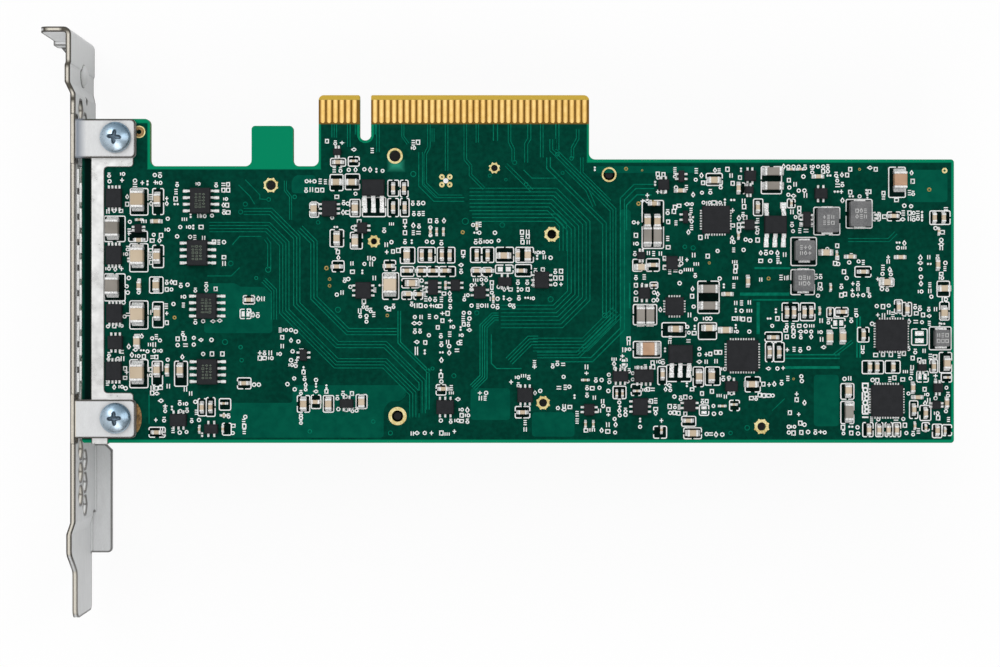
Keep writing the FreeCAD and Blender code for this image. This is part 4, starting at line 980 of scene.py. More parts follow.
def corner_line(left, right, low, high, radius, side, end, gap_x, gap_y):
    """A quarter of a printed frame, from the gap in one side round the corner to the gap in the next."""
    middle = Vector(((left + right) / 2, (low + high) / 2))
    half = Vector(((right - left) / 2, (high - low) / 2))
    points = [(side * gap_x, end * half.y)]
    for step in range(CORNER_STEPS + 1):
        angle = math.pi / 2 * (1 - step / CORNER_STEPS)
        points.append((side * (half.x - radius + radius * math.cos(angle)),
                       end * (half.y - radius + radius * math.sin(angle))))
    points.append((side * half.x, end * gap_y))
    return [(middle.x + x, middle.y + y) for x, y in points]


# Printed frames round the parts: left, right, low and high edge
FRAMES = [
    (-45.2, -41.8, -23.1, -18.0), (-40.9, -38.8, -23.0, -18.0), (-50.2, -46.2, -28.2, -23.3),
    (-45.5, -41.9, -28.2, -26.2), (-45.3, -41.8, -34.0, -28.6), (-40.9, -38.8, -33.2, -28.9),
    (-50.2, -46.2, -39.6, -34.4), (-41.5, -38.9, -38.1, -35.0), (-45.3, -41.8, -45.0, -39.6),
    (-40.9, -38.8, -44.7, -39.8), (-45.3, -41.8, -56.3, -50.9), (-41.0, -39.0, -55.8, -51.2),
    (-36.7, -34.2, -56.0, -51.2), (-41.6, -38.5, -65.8, -63.9), (-32.2, -30.6, -61.7, -58.4),
    (-30.6, -28.9, -61.8, -58.2), (-28.1, -25.9, -60.6, -58.4), (-27.5, -25.8, -65.4, -63.1),
    (-24.6, -22.0, -56.5, -54.4), (-23.5, -21.3, -40.2, -38.6), (-24.1, -22.0, -43.0, -41.2),
    (-13.1, -10.7, -61.0, -57.8), (-10.4, -8.6, -60.3, -57.7), (-8.1, -6.1, -61.0, -57.8),
    (-1.8, 0.3, -60.3, -57.6), (-10.7, -9.0, -23.5, -20.7), (-6.8, -4.3, -18.4, -15.3),
    (-3.9, -1.1, -18.2, -15.2), (-3.3, -1.2, -13.7, -11.9), (-6.7, -3.8, -13.7, -12.2),
    (-3.0, -1.0, -23.4, -20.1), (-0.6, 3.9, -23.4, -19.7), (4.3, 6.4, -19.5, -16.4), (6.7, 8.2, -19.6, -16.4),
    (4.3, 6.4, -23.4, -19.9), (6.7, 8.4, -23.4, -19.9), (-6.8, -4.2, -29.2, -25.9),
    (-2.9, -0.6, -29.6, -26.4), (-6.4, -4.1, -34.0, -31.9), (3.6, 5.8, -33.8, -31.8),
    (3.3, 6.4, -39.3, -34.2), (6.7, 9.5, -32.4, -29.3), (10.1, 13.4, -32.2, -29.3),
    (13.8, 17.2, -32.3, -29.3), (6.8, 9.3, -34.9, -33.0), (9.9, 11.8, -34.9, -33.0),
    (11.9, 14.1, -34.9, -33.0), (14.2, 17.3, -34.9, -33.0), (7.0, 10.3, -37.1, -35.3),
    (7.0, 8.9, -39.3, -37.8), (9.3, 11.0, -39.3, -37.6), (20.2, 22.3, -32.2, -29.3),
    (22.4, 24.7, -32.2, -29.3), (25.1, 28.5, -32.2, -29.3), (28.9, 32.3, -32.2, -29.3),
    (20.4, 22.3, -34.9, -33.2), (22.5, 24.3, -34.9, -33.2), (25.0, 28.4, -34.3, -32.7),
    (28.8, 31.9, -34.9, -32.6), (28.8, 31.6, -62.1, -59.9), (13.6, 15.5, -57.7, -55.7),
    (65.5, 68.6, -17.4, -15.1), (76.1, 80.0, -19.0, -13.8), (71.4, 73.0, -19.0, -16.9),
    (74.6, 76.4, -23.2, -20.0), (81.1, 82.6, -21.7, -20.0), (86.2, 91.2, -26.9, -21.6),
    (92.4, 97.4, -25.6, -20.1), (81.8, 86.7, -32.8, -27.4), (81.8, 86.3, -38.4, -33.6),
    (100.6, 103.8, -19.7, -13.9), (100.3, 102.9, -24.2, -22.5), (108.5, 112.4, -24.9, -22.3),
    (97.5, 99.0, -24.2, -22.6), (53.2, 57.3, -29.5, -20.3), (51.4, 53.2, -33.9, -31.6),
    (54.0, 56.5, -33.9, -31.5), (54.7, 56.2, -37.2, -36.0), (51.5, 56.0, -44.2, -40.3),
    (63.9, 68.0, -42.0, -35.8), (64.0, 67.5, -47.0, -43.8), (57.0, 61.6, -46.5, -43.8),
    (51.5, 56.8, -50.5, -47.4), (56.2, 57.9, -55.7, -52.2), (63.0, 65.0, -56.1, -52.3),
    (65.3, 68.2, -55.8, -52.3), (57.9, 62.6, -55.1, -51.9), (49.0, 50.3, -52.3, -50.6),
    (47.6, 50.1, -58.4, -56.0), (51.1, 53.0, -57.8, -55.6), (55.4, 57.9, -66.0, -63.7),
    (60.8, 63.5, -63.7, -61.8), (61.2, 64.6, -66.1, -64.0), (64.2, 66.0, -61.6, -59.6),
    (73.0, 75.9, -57.1, -54.2), (76.8, 80.1, -47.4, -45.6), (78.5, 80.5, -51.3, -47.6),
    (76.9, 78.4, -51.3, -47.6), (70.0, 71.9, -60.7, -58.7), (80.1, 83.3, -43.5, -40.0),
    (83.6, 86.4, -43.4, -40.0), (88.7, 90.1, -42.9, -40.9), (90.3, 92.8, -42.6, -40.9),
    (89.6, 92.2, -44.8, -42.9), (94.1, 97.2, -35.0, -33.0), (98.8, 101.6, -36.8, -35.2),
    (109.9, 112.3, -38.8, -35.8), (103.2, 105.0, -42.5, -39.9), (101.7, 103.2, -42.0, -39.4),
    (110.4, 112.2, -43.3, -39.8), (108.4, 112.6, -49.0, -44.6), (94.6, 96.8, -47.5, -44.7),
    (105.0, 108.0, -48.1, -45.0), (110.3, 112.7, -53.4, -49.5), (108.5, 110.0, -53.4, -50.9),
    (110.7, 112.7, -55.2, -53.5), (95.5, 99.6, -53.6, -51.1), (99.9, 102.8, -53.5, -51.1),
    (106.0, 108.2, -55.2, -53.1), (91.4, 93.9, -58.5, -55.5), (91.4, 93.9, -63.2, -58.9),
    (95.6, 97.6, -65.7, -63.0), (98.1, 99.5, -65.7, -63.0), (99.9, 101.3, -65.7, -63.0),
    (101.4, 102.9, -65.7, -63.0), (104.6, 106.2, -62.2, -58.8), (106.6, 108.7, -62.6, -59.7),
    (107.0, 108.4, -64.6, -63.0), (109.0, 110.8, -65.9, -63.3), (110.9, 112.7, -65.5, -63.4),
]
# Middles of the printed marks, row by row: the row's y, then each x on it
MARK_ROWS = [
    (-15.4, -49.3), (-15.2, -46.7), (-16.6, -49.2), (-16.4, -46.8), (-16.5, -44.3), (-17.4, -44.3),
    (-16.9, -42.9, -41.9), (-15.4, -40.5, -39.5), (-16.8, -40.4), (-16.9, -39.6), (-17.2, -36.2),
    (-17.1, -32.2), (-18.6, -36.4), (-20.0, -36.5), (-21.0, -36.4), (-19.9, -38.2), (-20.9, -38.2),
    (-19.6, -41.3), (-20.9, -41.2), (-19.6, -45.8), (-21.0, -45.8), (-22.4, -49.5), (-22.3, -48.3, -47.0),
    (-24.4, -45.3), (-24.3, -42.6), (-23.8, -38.0), (-25.9, -38.1), (-25.4, -35.6, -34.0, -33.1, -31.6),
    (-26.9, -40.7), (-27.0, -39.3), (-28.0, -41.0, -39.6), (-23.2, -33.6, -32.0), (-23.9, -34.8),
    (-26.2, -45.4), (-27.2, -36.2), (-27.3, -33.7), (-27.4, -32.8), (-29.5, -45.7), (-30.6, -46.1),
    (-31.7, -45.6), (-29.9, -41.3), (-31.0, -41.4), (-32.2, -41.2), (-33.4, -49.5), (-33.5, -48.1),
    (-33.4, -46.9), (-35.2, -45.5), (-36.8, -45.9), (-38.0, -45.7), (-35.8, -43.5), (-36.8, -43.5),
    (-37.8, -43.6), (-36.0, -38.2, -37.3), (-36.1, -36.6), (-37.4, -38.2, -37.3), (-36.6, -35.5),
    (-36.5, -34.2), (-37.5, -32.7), (-38.8, -35.0), (-40.2, -36.9), (-40.4, -35.0), (-40.6, -38.3),
    (-42.0, -38.2), (-43.8, -38.2), (-41.8, -41.5), (-42.2, -45.6), (-42.6, -46.3), (-39.9, -46.5),
    (-44.5, -49.5), (-44.4, -48.3, -47.0), (-43.6, -32.7), (-43.5, -31.2), (-45.9, -35.1), (-46.4, -43.0),
    (-46.8, -41.0), (-46.5, -40.2), (-47.2, -39.5), (-48.0, -41.3, -40.6), (-46.9, -36.1), (-46.8, -34.8),
    (-48.1, -36.1, -34.6), (-46.7, -33.0), (-47.1, -31.6), (-48.0, -33.0), (-48.4, -45.5), (-49.0, -44.2),
    (-49.1, -42.9), (-49.3, -41.9), (-50.0, -44.9), (-50.2, -43.8), (-50.3, -42.6), (-49.2, -40.6, -39.5),
    (-50.4, -40.9, -40.2), (-49.9, -49.3), (-49.4, -46.9), (-50.7, -47.6, -46.7), (-50.8, -49.4),
    (-52.6, -46.2), (-53.3, -45.9), (-54.4, -46.2), (-50.9, -38.0), (-50.4, -35.2), (-52.8, -41.3),
    (-53.9, -41.5), (-56.0, -37.9), (-56.6, -34.6), (-55.4, -49.6), (-56.2, -48.3), (-56.1, -47.0),
    (-56.4, -46.1), (-56.3, -41.0), (-56.4, -40.2), (-56.3, -39.4), (-57.3, -41.0), (-57.4, -40.1, -33.6),
    (-58.8, -39.3), (-59.8, -38.5), (-60.6, -38.5), (-60.2, -37.2), (-59.2, -35.7), (-59.4, -34.6),
    (-60.8, -35.6), (-60.6, -34.3), (-59.0, -32.7), (-61.0, -32.5), (-62.5, -40.3), (-62.4, -38.7),
    (-64.5, -37.0), (-64.9, -35.7), (-64.8, -34.4), (-62.6, -33.4), (-62.5, -32.0), (-64.2, -39.2),
    (-65.1, -38.8), (-17.3, -28.7), (-17.2, -27.3, -26.4), (-18.3, -27.3, -26.4), (-20.0, -26.9),
    (-21.2, -27.3, -26.6), (-22.5, -27.2), (-22.6, -26.4), (-23.2, -29.5), (-23.3, -31.1),
    (-16.6, -11.3, -10.6, -9.8, -8.7), (-16.7, -7.7), (-18.3, -11.4), (-18.2, -10.4), (-18.3, -9.3, -8.3),
    (-8.9, -7.4), (-27.5, -31.1), (-28.3, -29.1, -28.2, -27.2), (-31.2, -27.2), (-32.4, -27.2),
    (-36.5, -30.6), (-37.5, -30.6), (-37.3, -28.8), (-39.2, -20.6, -19.7), (-42.3, -21.6, -20.7),
    (-41.5, -22.4), (-43.5, -29.3), (-43.4, -28.0), (-45.2, -16.4, -15.4, -14.3), (-45.5, -13.4),
    (-47.1, -29.6), (-49.8, -31.2, -29.5, -27.5), (-49.6, -20.3, -19.4, -18.3), (-49.8, -16.6),
    (-50.6, -20.3, -19.4, -18.2), (-46.6, -16.0), (-48.3, -16.0), (-47.2, -14.3), (-47.4, -12.9),
    (-49.3, -14.0), (-49.2, -12.3), (-51.0, -14.3, -13.2), (-51.9, -14.3, -13.4), (-52.6, -11.9),
    (-53.3, -11.9), (-54.5, -11.7, -13.7), (-55.6, -15.0), (-55.7, -11.5), (-56.5, -11.5), (-56.6, -13.6),
    (-57.2, -12.4), (-54.8, -9.5), (-55.8, -9.5), (-57.0, -9.5), (-56.1, -7.5), (-57.0, -7.5),
    (-55.7, -21.4, -20.5), (-61.9, -23.1), (-62.8, -23.4), (-63.7, -23.3), (-64.7, -23.3), (-61.4, -12.4),
    (-62.1, -12.4), (-62.9, -12.4), (-61.6, -27.2), (-61.7, -26.3), (-63.6, -25.4), (-65.0, -25.5),
    (-65.3, -31.4), (-9.2, 9.2), (-9.1, 10.1), (-10.2, 9.2), (-9.2, -5.8, -4.5), (-11.0, -5.7), (-11.9, -5.5),
    (-10.5, -2.2), (-10.7, 1.3), (-14.4, -6.0, -4.8, -3.2, -1.9), (-14.3, -0.2), (-14.4, 0.9), (-14.5, 2.1),
    (-14.6, 3.3), (-19.6, -5.5), (-19.0, -1.9), (-20.7, -4.2), (-20.9, -3.4), (-22.6, -4.3, -3.4),
    (-23.6, -6.4), (-24.3, -1.2), (-24.8, 5.0), (-26.0, 3.6), (-24.3, 7.6), (-25.3, 7.6), (-26.5, 7.6),
    (-25.1, 9.2), (-25.2, 10.3), (-26.5, 9.2, 10.2), (-20.8, 9.1, 10.2, 11.1), (-22.8, 9.3, 10.3, 11.1),
    (-24.2, 12.4, 13.7, 15.1), (-25.5, 12.5), (-26.8, 12.5), (-25.4, -5.7), (-25.5, -2.4), (-29.2, -5.6),
    (-30.2, -5.3), (-31.3, -5.2), (-28.8, 4.0), (-28.3, 5.0), (-30.2, 4.1), (-30.1, 5.3), (-31.4, 0.7),
    (-31.5, 1.6), (-32.4, -2.6), (-32.5, -0.2, 1.1), (-34.0, -2.5, -0.6), (-28.2, 7.6, 8.9, 11.8),
    (-28.3, 12.9), (-28.4, 14.6), (-29.9, 6.3), (-35.6, -4.0), (-35.4, -3.3), (-35.2, 1.7), (-36.9, -2.9),
    (-37.5, 1.8), (-36.6, 3.0), (-38.4, -5.5), (-38.0, -4.5), (-39.7, -0.3), (-40.6, -0.4), (-41.5, -1.1),
    (-41.0, 0.3), (-41.4, 1.0), (-42.2, 1.6), (-42.4, -1.0), (-42.5, 0.2), (-43.4, 0.2), (-40.9, 4.0),
    (-40.6, 5.4), (-41.2, 4.5), (-40.2, 8.9), (-35.7, 10.8), (-36.8, 10.7), (-37.6, 11.4), (-39.2, 11.6),
    (-39.3, 12.4, 13.4, 14.6, 16.3), (-38.2, 15.1, 16.2), (-40.5, 9.7, 10.6), (-40.6, 11.6), (-40.5, 12.6),
    (-40.6, 13.5, 14.4), (-40.7, 16.3), (-42.7, 9.5, 10.7), (-42.6, 12.3), (-42.7, 13.6), (-42.0, 14.8, 15.8),
    (-43.9, 9.4, 10.4), (-43.4, 14.8, 16.3), (-44.7, 13.9), (-44.6, 16.7), (-45.4, 9.5, 10.5), (-46.3, 14.5),
    (-46.0, 16.2), (-46.2, 12.2), (-47.5, 9.9), (-47.6, 11.5), (-47.9, 14.6), (-47.5, 15.8), (-48.3, 16.1),
    (-47.7, 17.9), (-48.8, 9.8), (-49.6, 9.8), (-49.4, 11.4), (-49.5, 14.6), (-49.6, 16.1), (-49.1, 17.6),
    (-51.0, 14.6), (-53.2, 14.5), (-54.0, 14.5), (-55.1, 14.6), (-56.3, 16.5), (-57.3, 16.5), (-57.4, -4.3),
    (-58.0, -3.8), (-57.4, -2.6), (-58.2, -5.4), (-60.4, -5.2), (-60.5, -3.7), (-60.6, -2.5), (-60.5, -1.7),
    (-62.6, 14.5), (-62.7, 16.4), (-62.6, 17.6), (-65.1, 9.0), (-65.0, 9.9, 11.4, 12.7, 14.6), (-64.7, 17.1),
    (-65.2, 15.7), (-25.0, 21.4, 20.7), (-24.9, 22.0), (-26.5, 21.2, 21.9, 24.9), (-26.4, 30.1, 31.2),
    (-27.2, 30.1, 31.2), (-28.3, 30.2, 31.3), (-28.2, 21.2), (-28.1, 22.1), (-28.2, 23.2, 24.2),
    (-28.0, 25.6), (-30.3, 18.8), (-31.1, 18.8), (-30.3, 33.0), (-31.2, 33.0), (-30.3, 34.0), (-31.2, 34.4),
    (-31.3, 35.6), (-32.7, 18.4), (-33.9, 18.4, 36.5, 37.6), (-35.2, 36.5, 37.6), (-36.4, 36.5, 37.6),
    (-33.8, 32.7), (-33.6, 34.1), (-35.6, 32.5), (-36.5, 32.5), (-35.6, 21.2), (-35.5, 22.3), (-35.4, 23.2),
    (-36.6, 20.4, 21.1), (-36.4, 22.5), (-36.1, 24.3), (-37.0, 24.3), (-37.4, 20.4), (-37.8, 24.3),
    (-38.5, 19.5), (-39.2, 19.0, 24.2, 25.4), (-36.9, 25.6), (-37.4, 26.7, 27.9), (-36.0, 29.3, 31.1),
    (-37.4, 29.3, 30.0, 31.2), (-39.0, 29.5, 31.0), (-39.1, 32.1), (-39.0, 26.6), (-39.3, 27.7),
    (-40.5, 20.4), (-40.6, 21.6), (-40.5, 22.4, 23.3), (-40.6, 24.5), (-40.7, 25.4), (-40.4, 27.8),
    (-40.6, 28.5), (-41.9, 18.9, 20.0), (-43.0, 18.8, 20.0), (-44.1, 18.9, 19.8), (-45.2, 20.0),
    (-44.9, 18.3), (-46.2, 18.4), (-47.6, 18.3), (-51.5, 32.5), (-52.3, 32.5), (-52.1, 36.0), (-51.6, 36.9),
    (-51.8, 38.0), (-54.2, 38.1), (-56.3, 37.2), (-56.2, 38.4), (-56.1, 39.2), (-55.2, 28.0), (-54.3, 29.2),
    (-54.0, 30.4), (-54.3, 31.4), (-55.7, 29.4), (-56.9, 33.6), (-57.3, 32.6), (-58.0, 40.2), (-60.2, 37.0),
    (-59.9, 38.2), (-60.5, 38.2), (-60.0, 39.3), (-61.3, 40.7), (-62.7, 40.7), (-57.3, 22.0, 23.2),
    (-58.3, 22.1, 23.0), (-60.5, 18.4), (-60.6, 19.6), (-61.6, 18.5, 19.6), (-62.7, 18.5, 19.6),
    (-58.5, 17.8), (-63.0, 30.7), (-64.3, 30.7), (-14.2, 44.1), (-15.2, 56.2), (-15.3, 57.3), (-15.9, 56.3),
    (-14.4, 59.5), (-15.5, 59.5), (-14.6, 63.6), (-16.3, 63.5), (-15.5, 64.6), (-16.9, 64.9), (-17.0, 55.7),
    (-18.6, 56.2, 57.2), (-17.8, 59.7, 61.7), (-19.2, 63.0), (-18.8, 64.7), (-18.6, 66.3), (-19.3, 54.2),
    (-20.4, 53.3, 54.2), (-21.0, 61.8, 62.6), (-20.7, 65.0, 66.0), (-21.6, 59.5), (-21.3, 60.3),
    (-22.4, 59.3), (-22.5, 58.1), (-22.2, 62.6), (-23.5, 62.7), (-24.3, 62.7), (-24.4, 58.2), (-24.6, 59.7),
    (-24.5, 51.6), (-24.6, 52.4), (-25.5, 62.7), (-26.4, 62.1), (-27.6, 58.1), (-27.0, 52.0), (-28.6, 52.0),
    (-27.4, 64.4), (-27.2, 65.6), (-29.3, 58.2), (-30.5, 51.8), (-30.4, 54.4), (-30.5, 55.4, 56.7),
    (-31.4, 57.5), (-33.2, 57.6), (-34.0, 58.5), (-33.8, 59.6), (-34.0, 60.6), (-31.5, 60.7), (-31.7, 61.8),
    (-32.4, 60.7), (-30.8, 63.1), (-33.6, 61.7, 62.5), (-32.5, 63.6), (-31.0, 65.8), (-34.7, 63.4),
    (-35.1, 52.0), (-35.0, 53.6), (-36.2, 60.4), (-36.6, 52.0, 53.2), (-36.8, 54.0), (-38.0, 52.0),
    (-39.3, 52.0), (-38.0, 55.5), (-38.3, 56.2), (-39.5, 55.4), (-39.4, 56.1), (-37.3, 62.9), (-38.7, 62.8),
    (-40.7, 63.1), (-42.3, 62.3), (-43.1, 63.5), (-43.0, 65.4, 66.3), (-41.3, 56.7), (-44.6, 61.9),
    (-44.7, 63.3), (-45.7, 62.0), (-45.8, 63.2), (-46.9, 50.6), (-47.7, 50.6), (-49.0, 49.7), (-48.9, 50.6),
    (-46.8, 58.6), (-47.5, 58.5), (-47.3, 62.1), (-49.0, 57.6), (-48.8, 64.2), (-49.9, 64.2, 65.5),
    (-49.8, 66.3), (-51.3, 64.2, 65.5, 56.4, 57.2), (-50.8, 47.8), (-51.7, 47.8), (-52.6, 48.0),
    (-50.2, 49.4), (-52.5, 49.5), (-53.0, 50.7), (-52.4, 52.2), (-52.3, 53.8), (-51.5, 55.2), (-52.3, 55.3),
    (-53.5, 51.4), (-54.7, 51.4), (-52.3, 42.5), (-53.5, 42.5), (-53.8, 46.8), (-55.0, 46.9),
    (-54.8, 44.3, 45.4), (-55.1, 50.4), (-56.3, 42.6), (-56.4, 43.6), (-56.3, 45.0), (-56.9, 46.7),
    (-57.7, 42.6), (-58.2, 44.0), (-58.9, 45.6), (-59.8, 45.7), (-58.9, 48.8), (-59.9, 48.9), (-60.7, 45.0),
    (-60.5, 46.7), (-61.5, 46.7), (-60.7, 48.8), (-61.6, 48.9), (-60.6, 50.0), (-61.5, 50.0), (-62.3, 47.9),
    (-63.4, 46.6, 48.1), (-64.7, 46.6), (-64.9, 48.0), (-64.5, 45.4), (-64.4, 43.6), (-64.5, 42.4),
    (-56.7, 53.7), (-56.6, 54.3, 55.2, 57.7), (-55.8, 58.4), (-56.6, 58.6), (-55.7, 61.8), (-56.6, 62.8),
    (-58.0, 59.4), (-58.3, 60.6), (-58.1, 61.5), (-58.2, 62.5), (-58.9, 54.9), (-58.8, 55.8), (-60.4, 55.8),
    (-61.2, 55.8), (-59.9, 58.5, 59.5), (-60.0, 60.3), (-61.1, 58.6, 59.4), (-61.2, 60.2), (-61.3, 61.5),
    (-62.5, 52.8), (-63.8, 52.8), (-62.6, 56.9), (-57.4, 64.7), (-57.0, 66.6), (-58.9, 64.8, 65.6),
    (-65.2, 65.6, 66.4), (-14.5, 67.2), (-14.6, 68.0), (-14.3, 69.6), (-14.4, 72.2), (-15.5, 70.3),
    (-15.9, 72.0), (-17.0, 70.6), (-17.6, 68.3), (-13.8, 80.4, 81.3, 82.3, 83.3), (-13.9, 84.5),
    (-13.8, 85.9, 87.0, 88.0, 88.9), (-14.7, 85.9, 88.0, 88.9), (-15.7, 84.2), (-15.3, 90.5), (-16.3, 90.7),
    (-15.5, 89.1), (-17.4, 90.8), (-18.6, 90.5), (-16.4, 81.4), (-17.2, 82.6), (-17.8, 81.5), (-19.2, 81.3),
    (-19.4, 82.3), (-18.4, 83.3, 84.4), (-19.3, 84.6), (-20.7, 67.0, 68.0), (-20.4, 69.1), (-20.2, 70.6),
    (-20.4, 72.7), (-21.5, 72.8), (-22.2, 70.6), (-23.0, 72.6), (-23.7, 71.8), (-23.6, 73.0), (-25.0, 71.8),
    (-26.0, 71.8), (-25.1, 70.6), (-24.2, 75.4), (-25.7, 75.4), (-26.5, 75.3), (-22.5, 82.0), (-21.8, 83.4),
    (-22.6, 83.4), (-23.5, 82.7), (-23.6, 83.7), (-24.9, 82.0, 83.8), (-26.2, 82.2), (-26.1, 83.5, 84.7),
    (-23.7, 85.7), (-24.9, 85.7), (-27.6, 70.5), (-28.3, 70.6), (-27.8, 73.1), (-28.0, 74.0),
    (-29.8, 70.8, 72.7), (-30.0, 67.7), (-27.9, 75.4), (-30.4, 76.0), (-30.3, 77.0, 78.0), (-30.4, 79.2),
    (-30.7, 80.6), (-31.9, 76.0, 77.8), (-31.5, 79.3), (-32.3, 79.5), (-32.1, 71.0), (-33.0, 71.2),
    (-33.9, 71.1), (-35.2, 71.1), (-35.5, 76.0), (-35.1, 79.9), (-35.2, 80.8), (-35.1, 81.5),
    (-34.9, 86.6, 87.5), (-36.5, 87.4), (-37.3, 87.4), (-38.6, 87.0), (-35.3, 68.1), (-36.7, 70.8, 68.9),
    (-29.6, 88.8), (-29.0, 90.7), (-31.3, 90.7), (-32.4, 90.3), (-32.5, 90.9), (-40.0, 71.2, 72.3),
    (-39.9, 73.8), (-41.4, 71.2), (-41.5, 72.3, 73.8), (-43.0, 70.9, 71.8), (-43.1, 72.6), (-43.2, 73.8),
    (-44.5, 71.2), (-45.5, 71.3, 73.8), (-41.5, 78.9), (-43.0, 77.6, 79.2),
    (-44.4, 78.2, 81.0, 82.2, 83.4, 84.6, 85.8), (-45.3, 80.8), (-45.5, 82.3, 83.7, 84.7, 85.7),
    (-43.4, 87.6), (-45.6, 87.4), (-43.6, 89.0), (-46.5, 81.0), (-46.4, 82.3), (-46.5, 83.7, 85.7),
    (-49.0, 81.1), (-48.9, 82.4), (-49.0, 83.6), (-48.7, 85.2), (-47.0, 87.7), (-48.5, 88.1),
    (-49.5, 67.4, 68.2), (-51.2, 67.4), (-52.6, 77.5, 79.2), (-52.5, 80.3), (-52.7, 68.9), (-54.1, 83.8),
    (-55.0, 83.9), (-54.5, 81.2), (-55.6, 76.5), (-55.7, 77.6), (-55.6, 78.6), (-55.3, 80.0), (-57.5, 82.9),
    (-58.6, 82.9), (-59.2, 84.4), (-57.8, 76.6, 77.5, 78.3), (-58.3, 74.2, 75.1), (-57.7, 75.8),
    (-54.5, 68.8), (-54.4, 69.9), (-57.4, 70.4), (-58.0, 69.2), (-57.8, 68.0), (-59.8, 66.9), (-61.3, 67.0),
    (-61.2, 68.3), (-61.1, 81.6), (-61.4, 83.3), (-63.8, 81.4, 82.3), (-63.1, 83.6), (-63.4, 84.4),
    (-64.9, 81.4), (-65.0, 82.3), (-64.9, 83.8), (-64.8, 85.1, 86.5, 87.5), (-64.9, 88.3),
    (-65.3, 67.4, 68.6), (-14.3, 93.2), (-14.0, 97.0), (-14.3, 98.1), (-15.4, 91.6, 92.6), (-17.2, 91.7),
    (-18.6, 91.5), (-20.3, 91.7), (-18.7, 93.2), (-19.5, 93.4, 95.0), (-18.6, 96.3, 96.9), (-19.5, 96.5),
    (-15.0, 105.0), (-16.6, 105.2), (-18.9, 99.6), (-19.6, 99.6), (-18.8, 104.6), (-18.9, 105.3),
    (-20.2, 102.1), (-21.3, 103.6), (-21.4, 104.9), (-23.2, 98.6), (-23.4, 99.8),
    (-22.7, 103.4, 104.6, 105.4), (-22.8, 106.2, 107.0), (-23.8, 104.6, 105.4, 106.2, 107.0), (-23.9, 103.3),
    (-21.9, 111.6), (-25.6, 109.6), (-26.4, 110.9), (-27.9, 110.7), (-28.7, 110.7), (-29.4, 110.7),
    (-28.4, 102.4), (-28.5, 103.6), (-29.4, 102.4, 103.5), (-31.2, 100.5), (-32.0, 100.5), (-31.2, 108.3),
    (-31.3, 106.7), (-32.3, 106.7), (-33.5, 106.7), (-32.5, 108.4), (-31.2, 110.0), (-32.3, 111.5),
    (-33.4, 111.4), (-34.4, 110.7), (-35.2, 110.7), (-30.9, 93.4), (-32.2, 93.0), (-32.0, 94.8),
    (-32.2, 95.7), (-33.2, 99.5), (-33.6, 100.8), (-34.4, 99.4), (-34.3, 101.0), (-35.0, 106.8),
    (-36.3, 106.8), (-37.8, 106.7), (-36.5, 108.5), (-37.7, 108.5), (-38.8, 108.8), (-35.4, 98.5),
    (-37.3, 99.3, 100.3), (-36.3, 93.7, 94.7), (-37.6, 93.6), (-37.3, 94.7), (-37.5, 96.6),
    (-38.5, 93.7, 94.7, 95.7, 96.9), (-39.3, 111.1, 111.6), (-38.3, 92.2), (-38.5, 91.5), (-34.0, 92.0),
    (-35.2, 92.5), (-36.8, 91.5), (-40.6, 98.3), (-40.7, 99.5), (-40.5, 100.6), (-42.3, 98.5), (-42.4, 99.6),
    (-41.8, 100.6), (-42.2, 101.4), (-40.7, 105.7), (-41.0, 106.6), (-41.2, 108.3, 109.6), (-42.0, 105.9),
    (-42.3, 107.2), (-42.5, 108.4), (-43.6, 105.8), (-43.7, 107.0), (-43.9, 108.4), (-44.2, 110.4),
    (-44.0, 111.0), (-43.6, 104.5), (-44.0, 97.4), (-41.6, 94.3), (-42.4, 94.4), (-43.3, 93.4), (-48.6, 95.6),
    (-49.3, 95.6), (-50.0, 98.1), (-49.9, 99.5, 101.0), (-50.1, 102.6), (-49.7, 103.5), (-48.7, 104.4),
    (-49.3, 105.7), (-50.6, 105.2), (-49.2, 107.4), (-51.0, 106.5), (-51.3, 107.4), (-50.3, 108.6, 109.5),
    (-52.4, 105.1), (-53.2, 103.8), (-53.3, 105.0), (-54.5, 104.8), (-54.7, 103.3), (-54.0, 109.6),
    (-55.0, 109.6), (-56.3, 111.7), (-57.6, 112.0), (-56.6, 107.5), (-57.6, 107.9), (-57.4, 104.4),
    (-58.7, 108.3), (-58.3, 109.6), (-59.3, 107.6), (-60.8, 111.6), (-61.2, 109.8), (-62.1, 110.1),
    (-62.4, 112.1), (-54.6, 92.1), (-54.5, 93.1), (-54.8, 97.5), (-54.9, 98.4), (-54.7, 100.8),
    (-54.4, 101.7), (-62.3, 97.3), (-62.2, 98.6), (-62.3, 102.0), (-63.9, 91.8), (-63.8, 93.3), (-64.9, 91.9),
    (-65.0, 93.4), (-63.9, 94.6), (-65.1, 94.7), (-63.5, 103.7), (-65.0, 104.0), (-65.1, 105.3),
    (-64.6, 106.3), (-62.3, 103.4),
]
# Larger turned marks of the label at the right: x, first and last y, spacing, size and stroke
SIDE_LABEL_X = 96.1
SIDE_LABEL_Y = (-55.9, -61.7)
SIDE_LABEL_STEP = 0.82
SIDE_LABEL_SIZE = 1.35
SIDE_LABEL_STROKE = 0.3


